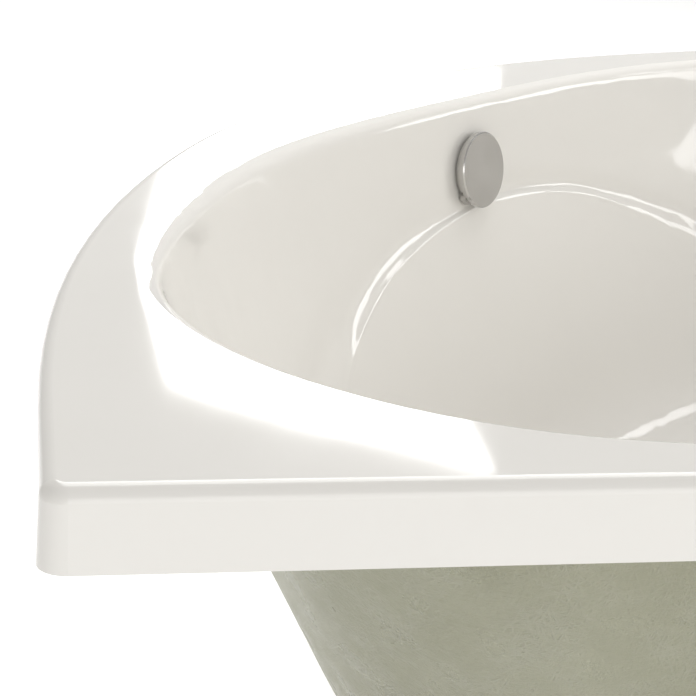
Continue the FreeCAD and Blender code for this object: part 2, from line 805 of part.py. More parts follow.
def make_corner_leg():
    """Square tube under the corner board, with its top plate and bottom insert."""
    v = corner_leg_station
    half = leg_tube_side / 2.0
    hollow = half - leg_tube_wall
    plate_bottom = corner_board_bottom - leg_plate_thickness
    tube = block(-half, half, v - half, v + half, leg_tube_bottom, plate_bottom)
    tube = tube.cut(block(-hollow, hollow, v - hollow, v + hollow,
                          leg_tube_bottom - overrun, plate_bottom + overrun))
    side = leg_plate_side / 2.0
    plate = block(-side, side, v - side, v + side, plate_bottom, corner_board_bottom)
    upright = [edge for edge in plate.Edges if edge.BoundBox.ZLength > leg_plate_thickness / 2.0]
    plate = plate.makeFillet(leg_plate_corner_round, upright)
    for su, sv in leg_plate_screw_places():
        plate = plate.cut(disc(screw_shank_radius + screw_clearance, plate_bottom - overrun,
                               corner_board_bottom + overrun, su, sv))
    fit = hollow - leg_insert_gap
    insert_top = leg_tube_bottom + leg_insert_height
    insert = block(-fit, fit, v - fit, v + fit, leg_tube_bottom, insert_top)
    insert = insert.cut(disc(stud_radius + thread_clearance, leg_tube_bottom - overrun,
                             insert_top + overrun, 0.0, v))
    return tube, plate, insert


# ================================================================ rim timbers
def square_block(x0, x1, y0, y1, z0, z1):
    """Box given along the wall sides, in the working frame."""
    box = block(x0, x1, y0, y1, z0, z1)
    box.rotate(ORIGIN, UP, -plan_turn)
    return box


def timber_face():
    """Distance from the middle to the lip side of a wall timber."""
    return half_side - wall_total - lean_at(deck_laminate_back) - timber_lip_gap


def make_battens():
    """Timbers along the two wall sides, glued under the deck."""
    outer = timber_face()
    inner = outer - batten_thickness
    reach = half_side - batten_end_margin
    low = deck_laminate_back - batten_height
    near = square_block(-reach, reach, -outer, -inner, low, deck_laminate_back)
    right = square_block(inner, outer, -reach, reach, low, deck_laminate_back)
    return near, right


def make_corner_board():
    """Three-sided board under the deck in the wall corner."""
    edge = timber_face() - batten_thickness - timber_clearance
    span = 2.0 * edge - math.sqrt(2.0) * (half_side * math.sqrt(2.0) - corner_board_depth)
    corners = [(edge, -edge), (edge, -edge + span), (edge - span, -edge)]
    points = [square_point(x, y, corner_board_bottom) for x, y in corners]
    board = Part.Face(Part.makePolygon(points + [points[0]])).extrude(V(0, 0, corner_board_thickness))
    hole_top = corner_board_bottom - leg_plate_thickness + screw_length + overrun
    for u, v in leg_plate_screw_places():
        board = board.cut(disc(screw_shank_radius + screw_clearance, corner_board_bottom - overrun,
                               hole_top, u, v))
    return board


def make_front_board():
    """Curved strip under the deck behind the front lip."""
    inset = wall_total + lean_at(deck_laminate_back) + timber_lip_gap
    low = deck_laminate_back - front_board_thickness
    outer = Part.Face(outline(inset, low)).extrude(V(0, 0, front_board_thickness))
    inner = Part.Face(outline(inset + front_board_width, low - overrun))
    strip = outer.cut(inner.extrude(V(0, 0, long_cut)))
    keep = block(-side_length, side_length, front_board_start, side_length,
                 low - overrun, deck_laminate_back + overrun)
    return strip.common(keep)


# ================================================================ overflow
def knob_origin():
    """Where the knob's axis meets the basin wall."""
    wall = Profile(opening_front_semi, side_upper_slope, side_lower_slope, side_floor_round, 0.0)
    flat = front_flattening * (1.0 - overflow_depth / basin_depth)
    return V(0, opening_shift + wall.at(overflow_depth) - flat, rim_height - overflow_depth)


def wall_place(shape):
    """Move a part from its own frame, Z out of the wall, to the overflow."""
    placed = shape.copy()
    placed.rotate(ORIGIN, V(1, 0, 0), 90.0 - side_upper_slope)
    placed.translate(knob_origin())
    return placed


def drop_place(shape, along, u=0.0):
    """Move a part from its own frame, Z up the drop pipe, to the overflow housing."""
    placed = shape.copy()
    placed.rotate(ORIGIN, V(1, 0, 0), -90.0)
    placed.translate(V(u, along, drop_axis))
    return wall_place(placed)


def inlet_place(shape, along=0.0, u=0.0):
    """Move a part from its own frame, Z towards the front, to the waste's side inlet."""
    placed = shape.copy()
    placed.rotate(ORIGIN, V(1, 0, 0), -90.0)
    placed.translate(V(u, waste_station + along, inlet_level))
    return placed


def housing_place(shape, u=0.0):
    """Turn a part along the drop pipe, still in the overflow's own frame."""
    placed = shape.copy()
    placed.rotate(ORIGIN, V(1, 0, 0), -90.0)
    placed.translate(V(u, 0, drop_axis))
    return placed


def make_knob():
    """Round cap with a finger tab, hollow behind, with a hub for the spindle."""
    face = knob_face_stand_off
    band = face - knob_band_height
    inside = knob_skirt_radius - knob_wall
    roof = face - knob_wall
    cap = revolved([(0, face), (knob_radius - knob_face_chamfer, face),
                    (knob_radius, face - knob_face_chamfer), (knob_radius, band),
                    (knob_skirt_radius, band), (knob_skirt_radius, knob_back_gap),
                    (inside, knob_back_gap), (inside, roof), (knob_hub_radius, roof),
                    (knob_hub_radius, knob_hub_back), (0, knob_hub_back)])
    cap = cap.cut(disc(spindle_radius, knob_hub_back - overrun, roof - knob_bore_blind))
    tab_top = band + tab_band_overlap
    tab = block(knob_skirt_radius - bite, knob_skirt_radius + tab_length,
                -tab_width / 2.0, tab_width / 2.0, knob_back_gap, tab_top)
    rounded = []
    for edge in tab.Edges:
        box = edge.BoundBox
        if not level(edge, box.ZMin) and box.XMin > knob_skirt_radius:
            rounded.append(edge)
    tab = tab.makeFillet(tab_length * tab_round_share, rounded)
    tab.rotate(ORIGIN, UP, tab_angle)
    cap = cap.fuse(tab)
    grub_hole = Part.makeCylinder(grub_radius, knob_hub_radius + overrun, V(0, 0, grub_level), V(0, -1, 0))
    return cap.cut(grub_hole)


def make_collar():
    """Front ring of the overflow with water ways and a bearing for the spindle."""
    back = seal_thickness
    front = back + collar_thickness
    bore = collar_tail_radius - collar_tail_wall
    flange = ring(collar_radius, bore, back, front)
    tail = ring(collar_tail_radius, bore, -collar_tail_length, back)
    hub = disc(collar_hub_radius, -collar_hub_back, collar_hub_front)
    collar = flange.fuse(tail).fuse(hub)
    for k in range(collar_spoke_count):
        spoke = block(collar_hub_radius - bite, bore + bite,
                      -collar_spoke_width / 2.0, collar_spoke_width / 2.0,
                      -collar_hub_back, front - collar_spoke_set_back)
        spoke.rotate(ORIGIN, UP, 360.0 / collar_spoke_count * (k + 0.5))
        collar = collar.fuse(spoke)
    return collar.cut(disc(spindle_radius + spindle_clearance, -long_cut, long_cut))


def make_housing():
    """Chamber behind the wall: flange, spigot through the wall, pipe outlet and cable gland."""
    spigot_bore = collar_tail_radius + thread_clearance
    body = disc(housing_radius, housing_back, housing_flange_back)
    body = body.fuse(disc(housing_flange_radius, housing_flange_back, housing_front))
    body = body.fuse(disc(overflow_spigot_radius, housing_front, -spigot_front_gap))
    outlet = disc(union_spigot_radius, -housing_outlet_end, 0.0)
    body = body.fuse(housing_place(outlet))
    gland = disc(gland_radius, -housing_radius - bite, -housing_gland_end)
    body = body.fuse(housing_place(gland, cable_side_station))
    body = body.cut(disc(spigot_bore, housing_flange_back - housing_recess, overrun))
    body = body.cut(disc(housing_radius - housing_wall, housing_back + housing_wall,
                         housing_flange_back - housing_front_wall))
    mouth = -housing_outlet_end - overrun
    bore = disc(pipe_radius - pipe_wall, mouth, 0.0)
    socket = disc(pipe_radius + pipe_fit, mouth, pipe_insert + overrun - housing_outlet_end)
    for hole in (bore, socket):
        body = body.cut(housing_place(hole))
    gland_start = -housing_radius - gland_mouth
    cable_bore = disc(cable_radius + cable_gap, gland_start, gland_length - housing_radius)
    wire_bore = disc(wire_bore_radius, gland_start, overrun)
    for hole in (cable_bore, wire_bore):
        body = body.cut(housing_place(hole, cable_side_station))
    bearing = housing_back + housing_wall
    boss = disc(spindle_boss_radius, bearing - spindle_boss_bite, bearing + spindle_boss_length)
    boss = boss.cut(disc(spindle_radius + spindle_clearance, bearing + spindle_bore_blind, 0.0))
    return wall_place(largest(body.fuse(boss)))


def make_spindle_parts():
    """Spindle, cable drum and grub screw that turn with the knob."""
    back = housing_back + housing_wall + spindle_bore_blind + spindle_end_gap
    spindle = disc(spindle_radius, back, knob_face_stand_off - knob_wall - knob_bore_blind)
    drum = ring(drum_radius, spindle_radius, drum_back, drum_back + drum_thickness)
    middle = drum_back + drum_thickness / 2.0
    drum = drum.cut(ring(drum_radius + overrun, drum_radius - drum_groove_depth,
                         middle - drum_groove_half, middle + drum_groove_half))
    grub = Part.makeCylinder(grub_radius, knob_hub_radius - spindle_radius - grub_end_gap,
                             V(0, -spindle_radius, grub_level), V(0, -1, 0))
    return wall_place(spindle), wall_place(drum), wall_place(grub)


def make_union():
    """Ribbed nut and rubber ring that seal a pipe end, spigot end at Z = 0."""
    top = union_seal_height + union_lip
    bottom = top - pipe_nut_height
    nut = disc(pipe_nut_radius, bottom, top)
    for k in range(union_rib_count):
        rib = block(pipe_nut_radius - bite, pipe_nut_radius + union_rib_height,
                    -union_rib_half_width, union_rib_half_width, bottom, top - union_rib_set_back)
        rib.rotate(ORIGIN, UP, 360.0 / union_rib_count * k)
        nut = nut.fuse(rib)
    nut = nut.cut(disc(union_spigot_radius + thread_clearance, -long_cut, union_seal_height))
    nut = nut.cut(disc(pipe_radius + pipe_fit, 0.0, long_cut))
    seal = ring(union_spigot_radius, pipe_radius + union_seal_gap, 0.0, union_seal_height)
    return nut, seal


def bent_route(start, corner, end, radius):
    """Two straight runs joined by one tangent arc."""
    first = (start - corner).normalize()
    second = (end - corner).normalize()
    half = math.acos(max(-1.0, min(1.0, first.dot(second)))) / 2.0
    reach = radius / math.tan(half)
    begin = corner + first * reach
    finish = corner + second * reach
    middle_way = (first + second).normalize()
    middle = corner + middle_way * (radius / math.sin(half) - radius)
    print("bend radius", radius, "runs %.1f %.1f" % ((begin - start).Length, (end - finish).Length))
    return Part.Wire([Part.makeLine(start, begin), Part.Arc(begin, middle, finish).toShape(),
                      Part.makeLine(finish, end)])


def swept(path, start, direction, radius):
    """Round bar along a path."""
    circle = Part.Wire(Part.makeCircle(radius, start, direction))
    return path.makePipeShell([circle], True, False)


def drop_point(along, u=0.0):
    """A point on the line of the drop pipe, or beside it."""
    point = Part.Vertex(V(u, along, drop_axis))
    return wall_place(point).Point


def drop_corner(u=0.0):
    """Where the line of the drop pipe meets the level of the waste inlet."""
    upper = drop_point(0.0, u)
    lower = drop_point(-long_cut, u)
    share = (upper.z - inlet_level) / (upper.z - lower.z)
    return upper + (lower - upper) * share


def make_pipe():
    """Bent pipe from the overflow down to the waste."""
    start = drop_point(-housing_outlet_end + pipe_insert)
    end = V(0, waste_station + waste_inlet_end - pipe_insert, inlet_level)
    path = bent_route(start, drop_corner(), end, pipe_bend_radius)
    direction = drop_point(-long_cut) - drop_point(0.0)
    outer = swept(path, start, direction, pipe_radius)
    inner = swept(path, start, direction, pipe_radius - pipe_wall)
    return outer.cut(inner)


def make_cable():
    """Sheathed pull cable beside the pipe, from the housing to the waste."""
    start = drop_point(gland_length - housing_radius - cable_top_gap, cable_side_station)
    low_end = waste_station + waste_gland_end - gland_length + cable_low_gap
    end = V(cable_side_station, low_end, inlet_level)
    path = bent_route(start, drop_corner(cable_side_station), end, cable_bend_radius)
    direction = drop_point(-long_cut) - drop_point(0.0)
    cable = swept(path, start, direction, cable_radius)
    expected = math.pi * cable_radius ** 2 * path.Length
    print("cable length %.1f, volume %.0f of %.0f" % (path.Length, cable.Volume, expected))
    return cable


def make_clips():
    """Clips that hold the cable to the drop pipe."""
    clips = []
    for distance in clip_distances:
        round_pipe = disc(pipe_radius + clip_wall, 0.0, clip_width)
        round_cable = disc(cable_radius + clip_wall, 0.0, clip_width, cable_side_station, 0.0)
        bridge = block(pipe_radius, cable_side_station, -clip_wall, clip_wall, 0.0, clip_width)
        clip = round_pipe.fuse(bridge).fuse(round_cable)
        clip = clip.cut(disc(pipe_radius + clip_gap, -overrun, clip_width + overrun))
        clip = clip.cut(disc(cable_radius + clip_gap, -overrun, clip_width + overrun,
                             cable_side_station, 0.0))
        clips.append(drop_place(clip, -distance))
    return Part.makeCompound(clips)


# ================================================================ waste
def make_waste_flange():
    """Bright flange in the floor with a threaded tail and a guide for the plug."""
    base = floor_top + top_seal_thickness
    tail_end = base - flange_tail_length
    crest = base + flange_rise
    flange = revolved([(flange_throat_radius, tail_end), (flange_tail_radius, tail_end),
                       (flange_tail_radius, base), (flange_radius, base),
                       (flange_radius, base + flange_edge_height),
                       (flange_seat_radius + flange_lip_width, crest), (flange_seat_radius, crest),
                       (flange_throat_radius, base - flange_seat_drop)])
    guide_top = base - flange_guide_drop
    hub = disc(flange_hub_radius, guide_top - 2.0 * flange_spoke_height, guide_top)
    for k in range(flange_spoke_count):
        spoke = block(flange_hub_radius - bite, flange_throat_radius + flange_spoke_bite,
                      -flange_spoke_width / 2.0, flange_spoke_width / 2.0,
                      guide_top - flange_spoke_height, guide_top)
        spoke.rotate(ORIGIN, UP, 360.0 / flange_spoke_count * k + 90.0)
        hub = hub.fuse(spoke)
    flange = flange.fuse(hub)
    flange = flange.cut(disc(stem_radius + stem_clearance, guide_top - long_cut, guide_top + overrun))
    flange.translate(V(0, waste_station, 0))
    return flange


def make_waste_body():
    """Cup under the floor with a side inlet, a cable gland and a threaded outlet."""
    top = laminate_back - under_seal_thickness
    flange_bottom = top - waste_flange_thickness
    cup_bottom = flange_bottom - waste_cup_depth
    body = disc(waste_flange_radius, flange_bottom, top)
    body = body.fuse(disc(waste_cup_radius, cup_bottom, flange_bottom))
    body = body.fuse(disc(outlet_radius, cup_bottom - outlet_length, cup_bottom))
    web_bottom = flange_bottom - waste_web_height
    web_end = waste_flange_radius - waste_web_margin
    cutter = revolved([(waste_flange_radius, web_bottom - overrun), (waste_flange_radius, flange_bottom),
                       (web_end, flange_bottom), (waste_cup_radius, web_bottom - overrun)])
    for k in range(waste_web_count):
        web = block(waste_cup_radius - waste_web_bite, web_end,
                    -waste_web_half_width, waste_web_half_width, web_bottom, flange_bottom)
        web.rotate(ORIGIN, UP, 360.0 / waste_web_count * (k + 0.5))
        body = body.fuse(web.cut(cutter))
    body.translate(V(0, waste_station, 0))
    inlet = inlet_place(disc(union_spigot_radius, waste_cup_radius - waste_inlet_start, waste_inlet_end))
    gland = inlet_place(disc(gland_radius, waste_gland_start, waste_gland_end), 0.0, cable_side_station)
    body = body.fuse(inlet).fuse(gland)
    cup_floor = cup_bottom + waste_cup_wall
    cup = disc(waste_cup_radius - waste_cup_wall, cup_floor, neck_bottom, 0.0, waste_station)
    neck = disc(flange_tail_radius + thread_clearance, neck_bottom - neck_overlap, top + overrun,
                0.0, waste_station)
    outlet = disc(outlet_bore_radius, cup_bottom - outlet_length - overrun, cup_floor + overrun,
                  0.0, waste_station)
    mouth = waste_inlet_end + overrun
    bore = inlet_place(disc(pipe_radius - pipe_wall, waste_cup_radius - waste_inlet_bore_start, mouth))
    socket = inlet_place(disc(pipe_radius + pipe_fit, waste_inlet_end - pipe_insert - overrun, mouth))
    cable_bore = disc(cable_radius + cable_gap, waste_gland_end - gland_length, waste_gland_end + overrun)
    cable_bore = inlet_place(cable_bore, 0.0, cable_side_station)
    for hole in (cup, neck, outlet, bore, socket, cable_bore, rocker_pin_bar(rocker_pin_radius)):
        body = body.cut(hole)
    return largest(body)


def rocker_pivot():
    """Axis place of the rocker, beside the plug's stem."""
    return V(0, waste_station + rocker_arm, laminate_back - rocker_drop)


def rocker_pin_bar(radius):
    """Bar along the rocker's axis, between the two walls of the waste cup."""
    pivot = rocker_pivot()
    return Part.makeCylinder(radius, rocker_pin_left + rocker_pin_right,
                             V(-rocker_pin_left, pivot.y, pivot.z), V(1, 0, 0))


def rocker_angle():
    """Angle of the rocker below the level when the plug is down, in degrees."""
    return math.degrees(math.asin(plug_lift / 2.0 / rocker_arm))


def make_rocker():
    """Lever in the waste cup whose roller lifts the plug's stem."""
    half = rocker_width / 2.0
    eye = Part.makeCylinder(rocker_eye_radius, rocker_width, V(-half, 0, 0), V(1, 0, 0))
    roller = Part.makeCylinder(rocker_roller_radius, rocker_width, V(-half, -rocker_arm, 0), V(1, 0, 0))
    link_half = half - rocker_link_inset
    link = block(-link_half, link_half, -rocker_arm, 0.0, -rocker_link_half, rocker_link_half)
    rocker = eye.fuse(roller).fuse(link)
    bore = Part.makeCylinder(rocker_pin_radius + spindle_clearance, rocker_width + 2.0 * overrun,
                             V(-half - overrun, 0, 0), V(1, 0, 0))
    rocker = rocker.cut(bore)
    rocker.rotate(ORIGIN, V(1, 0, 0), rocker_angle())
    rocker.translate(rocker_pivot())
    return rocker


def make_plug():
    """Domed cap, its rubber seal and the stem that stands over the rocker."""
    base = floor_top + top_seal_thickness + flange_rise + plug_gap
    dome_points = [(0, base), (plug_radius, base), (plug_radius, base + plug_rim)]
    for k in range(1, plug_dome_steps + 1):
        out = 1.0 - k / float(plug_dome_steps)
        dome_points.append((plug_radius * out, base + plug_rim + plug_dome * (1.0 - out ** 2)))
    cap = revolved(dome_points)
    seal = ring(plug_seal_radius, stem_radius, base - plug_seal_height, base)
    pivot = rocker_pivot()
    roller_top = pivot.z - plug_lift / 2.0 + rocker_roller_radius
    stem = disc(stem_radius, roller_top + stem_gap, base + stem_bite)
    cap = cap.cut(disc(stem_radius, base - overrun, base + stem_bite))
    for piece in (cap, seal, stem):
        piece.translate(V(0, waste_station, 0))
    return cap, seal, stem


# ================================================================ whole bath
def main():
    """Build every sub-part and write it."""
    os.makedirs("parts", exist_ok=True)
    acrylic, laminate = make_shell_layers()
    write("acrylic_shell", acrylic)
    write("laminate_backing", laminate)

    write("base_board", make_board())
    for name, side in (("left", -1), ("right", 1)):
        write("cradle_rail_" + name, make_rail(side * rail_station))
    rail_screws = [wood_screw(board_bottom - rail_wall, u, v) for u, v in rail_screw_places()]
    write("rail_screws", Part.makeCompound(rail_screws))

    names = ("front_left", "front_right", "back_left", "back_right")
    for name, (u, v) in zip(names, foot_places()):
        write("foot_pad_" + name, make_pad(u, v))
        write("foot_stud_" + name, make_stud(u, v, board_bottom + stud_above_rail))
    write("foot_pad_corner", make_pad(0.0, corner_leg_station))
    write("foot_stud_corner", make_stud(0.0, corner_leg_station, leg_tube_bottom + leg_stud_reach))
    nuts, washers = make_foot_hardware()
    write("foot_nuts", nuts)
    write("foot_washers", washers)

    tube, plate, insert = make_corner_leg()
    write("corner_leg_tube", tube)
    write("corner_leg_plate", plate)
    write("corner_leg_insert", insert)
    leg_seat = corner_board_bottom - leg_plate_thickness
    leg_screws = [wood_screw(leg_seat, u, v) for u, v in leg_plate_screw_places()]
    write("corner_leg_screws", Part.makeCompound(leg_screws))

    near_batten, right_batten = make_battens()
    write("rim_batten_near_wall", near_batten)
    write("rim_batten_right_wall", right_batten)
    write("rim_corner_board", make_corner_board())
    write("rim_front_board", make_front_board())

    write("overflow_knob", wall_place(make_knob()))
    spindle, drum, grub = make_spindle_parts()
    write("overflow_spindle", spindle)
    write("overflow_cable_drum", drum)
    write("overflow_grub_screw", grub)
    write("overflow_collar", wall_place(make_collar()))
    front_seal = wall_place(ring(collar_radius - 1.0, overflow_spigot_radius + 0.3, -2.0, seal_thickness))
    write("overflow_front_seal", largest(front_seal.cut(acrylic)))
    rear_seal = wall_place(ring(housing_flange_radius - 1.0, overflow_spigot_radius + 0.3,
                                -wall_total - rear_seal_thickness, -wall_total + 2.0))
    write("overflow_rear_seal", largest(rear_seal.cut(laminate).cut(acrylic)))
    write("overflow_housing", make_housing())

    nut, seal = make_union()
    upper_nut = nut.copy()
    upper_seal = seal.copy()
    for piece in (upper_nut, upper_seal):
        piece.rotate(ORIGIN, V(1, 0, 0), 180.0)
    write("pipe_nut_upper", drop_place(upper_nut, -housing_outlet_end))
    write("pipe_seal_upper", drop_place(upper_seal, -housing_outlet_end))
    write("pipe_nut_lower", inlet_place(nut, waste_inlet_end))
    write("pipe_seal_lower", inlet_place(seal, waste_inlet_end))
    write("overflow_pipe", make_pipe())
    write("lift_cable", make_cable())
    write("cable_clips", make_clips())

    write("waste_flange", make_waste_flange())
    write("waste_top_seal", ring(flange_radius - 1.0, waste_hole_radius + 0.5, floor_top,
                                 floor_top + top_seal_thickness, 0.0, waste_station))
    write("waste_under_seal", ring(waste_flange_radius - 1.0, flange_tail_radius + 1.0,
                                   laminate_back - under_seal_thickness, laminate_back, 0.0, waste_station))
    write("waste_body", make_waste_body())
    write("rocker_pin", rocker_pin_bar(rocker_pin_radius))
    write("lift_rocker", make_rocker())
    cap, plug_seal, stem = make_plug()
    write("plug_cap", cap)
    write("plug_seal", plug_seal)
    write("plug_stem", stem)


main()
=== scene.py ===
import logging
import math
from dataclasses import dataclass
from enum import Enum
from typing import Protocol

import bpy
from mathutils import Matrix, Vector


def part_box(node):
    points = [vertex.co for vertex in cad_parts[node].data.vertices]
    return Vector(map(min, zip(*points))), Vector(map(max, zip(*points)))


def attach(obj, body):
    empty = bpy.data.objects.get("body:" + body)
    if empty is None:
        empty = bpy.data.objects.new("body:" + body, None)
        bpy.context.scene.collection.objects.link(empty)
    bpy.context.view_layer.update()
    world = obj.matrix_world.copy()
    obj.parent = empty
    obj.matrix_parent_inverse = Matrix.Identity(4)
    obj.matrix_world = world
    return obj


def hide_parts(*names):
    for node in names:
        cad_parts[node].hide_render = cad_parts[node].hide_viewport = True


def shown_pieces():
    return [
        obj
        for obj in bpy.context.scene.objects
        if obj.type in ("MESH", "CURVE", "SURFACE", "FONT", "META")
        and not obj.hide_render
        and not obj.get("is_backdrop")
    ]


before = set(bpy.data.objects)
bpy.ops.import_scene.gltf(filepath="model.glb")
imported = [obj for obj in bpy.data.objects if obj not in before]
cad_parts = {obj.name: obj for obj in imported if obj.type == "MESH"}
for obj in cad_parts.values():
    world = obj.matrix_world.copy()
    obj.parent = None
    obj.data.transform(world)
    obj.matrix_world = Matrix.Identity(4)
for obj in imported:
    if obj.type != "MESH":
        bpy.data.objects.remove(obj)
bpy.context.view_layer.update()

Colour = tuple[float, float, float]
Point = tuple[float, float, float]
WHITE: Colour = (1.0, 1.0, 1.0)
ORIGIN: Point = (0.0, 0.0, 0.0)
MAT_MAP = "mat"                       # the laminate's own map, in metres
MIX_SHARE, MIX_FIRST, MIX_SECOND, MIX_RESULT = 0, 6, 7, 2    # a Mix node's colour sockets
log = logging.getLogger("corner_bath")


# ------------------------------------------------------------------ shader tools
@dataclass(frozen=True)
class Noise:
    """One noise pattern, and the part of its range that a mask is made of."""

    scale: float = 5.0                # where the finish gives no scale of its own
    detail: float = 2.0
    roughness: float = 0.5
    low: float = 0.0
    high: float = 1.0


class Graph:
    """Adds, fills in and joins the nodes of one shader tree."""

    def __init__(self, tree: bpy.types.NodeTree) -> None:
        """Keep the tree that this graph works on."""
        self.tree = tree

    def add(self, kind: str, values: dict[str | int, object] | None = None,
            **settings: object) -> bpy.types.Node:
        """Add one node.

        Args:
            kind: the node's type name, without its "ShaderNode" start.
            values: plain values for its input sockets, by name or number.
            settings: values for the node's own properties.

        Returns:
            The new node.
        """
        node = self.tree.nodes.new("ShaderNode" + kind)
        for key, value in settings.items():
            setattr(node, key, value)
        for key, value in (values or {}).items():
            node.inputs[key].default_value = value
        return node

    def join(self, source: bpy.types.NodeSocket, node: bpy.types.Node,
             socket: str | int) -> bpy.types.Node:
        """Join an output to a node's input.

        Args:
            source: the output socket.
            node: the node that takes it in.
            socket: name or number of its input.

        Returns:
            The same node, so that calls can be chained.
        """
        self.tree.links.new(source, node.inputs[socket])
        return node

    def spread(self, source: bpy.types.NodeSocket, low: float, high: float,
               from_low: float = 0.0, from_high: float = 1.0) -> bpy.types.NodeSocket:
        """Map a value from one range to another.

        Args:
            source: the value that varies.
            low: result at the low end.
            high: result at the high end.
            from_low: value that gives the low end.
            from_high: value that gives the high end.

        Returns:
            The mapped value, kept inside its range.
        """
        values = {"From Min": from_low, "From Max": from_high, "To Min": low, "To Max": high}
        return self.join(source, self.add("MapRange", values), "Value").outputs["Result"]

    def math(self, operation: str, first: bpy.types.NodeSocket,
             second: bpy.types.NodeSocket | float) -> bpy.types.NodeSocket:
        """Do one sum on two values.

        Args:
            operation: Blender's name of the sum.
            first: the first value.
            second: the second value, varying or plain.

        Returns:
            The result.
        """
        node = self.join(first, self.add("Math", operation=operation), 0)
        if isinstance(second, bpy.types.NodeSocket):
            self.join(second, node, 1)
        else:
            node.inputs[1].default_value = second
        return node.outputs[0]

    def between(self, mask: bpy.types.NodeSocket, dark: Colour, light: Colour) -> bpy.types.NodeSocket:
        """Mix two colours by a mask.

        Args:
            mask: 0 gives the first colour and 1 the second.
            dark: the first colour, linear.
            light: the second colour, linear.

        Returns:
            The mixed colour.
        """
        mix = self.add("Mix", {MIX_FIRST: (*dark, 1.0), MIX_SECOND: (*light, 1.0)}, data_type="RGBA")
        return self.join(mask, mix, MIX_SHARE).outputs[MIX_RESULT]

    def noise(self, place: bpy.types.NodeSocket, noise: Noise,
              scale: bpy.types.NodeSocket | None = None) -> bpy.types.Node:
        """Add a noise pattern.

        Args:
            place: the coordinates that it reads.
            noise: how it is set.
            scale: a scale that takes the place of its own.

        Returns:
            The noise's node.
        """
        values = {"Scale": noise.scale, "Detail": noise.detail, "Roughness": noise.roughness}
        node = self.join(place, self.add("TexNoise", values), "Vector")
        return node if scale is None else self.join(scale, node, "Scale")

    def patches(self, place: bpy.types.NodeSocket, noise: Noise, scale: bpy.types.NodeSocket | None = None,
                least: float = 0.0, most: float = 1.0) -> bpy.types.NodeSocket:
        """Make a mask from a noise pattern.

        Args:
            place: the coordinates that it reads.
            noise: how it is set, with the part of its range that counts.
            scale: a scale that takes the place of its own.
            least: the mask's lowest value.
            most: the mask's highest value.

        Returns:
            The mask.
        """
        value = self.noise(place, noise, scale).outputs["Fac"]
        return self.spread(value, least, most, noise.low, noise.high)

    def stretch(self, place: bpy.types.NodeSocket, by: Point) -> bpy.types.NodeSocket:
        """Multiply the coordinates axis by axis.

        Args:
            place: the coordinates.
            by: what each axis is multiplied by.

        Returns:
            The stretched coordinates.
        """
        return self.join(place, self.add("VectorMath", {1: by}, operation="MULTIPLY"), 0).outputs[0]


class Effect(Enum):
    """The effects that several finishes share."""

    CLOUD = "cloud"
    STRANDS = "chopped_strands"
    SCUFFS = "fine_scuffs"
    CHIPS = "pressed_chips"
    WOOD = "sawn_grain"
    EDGES = "rubbed_edges"


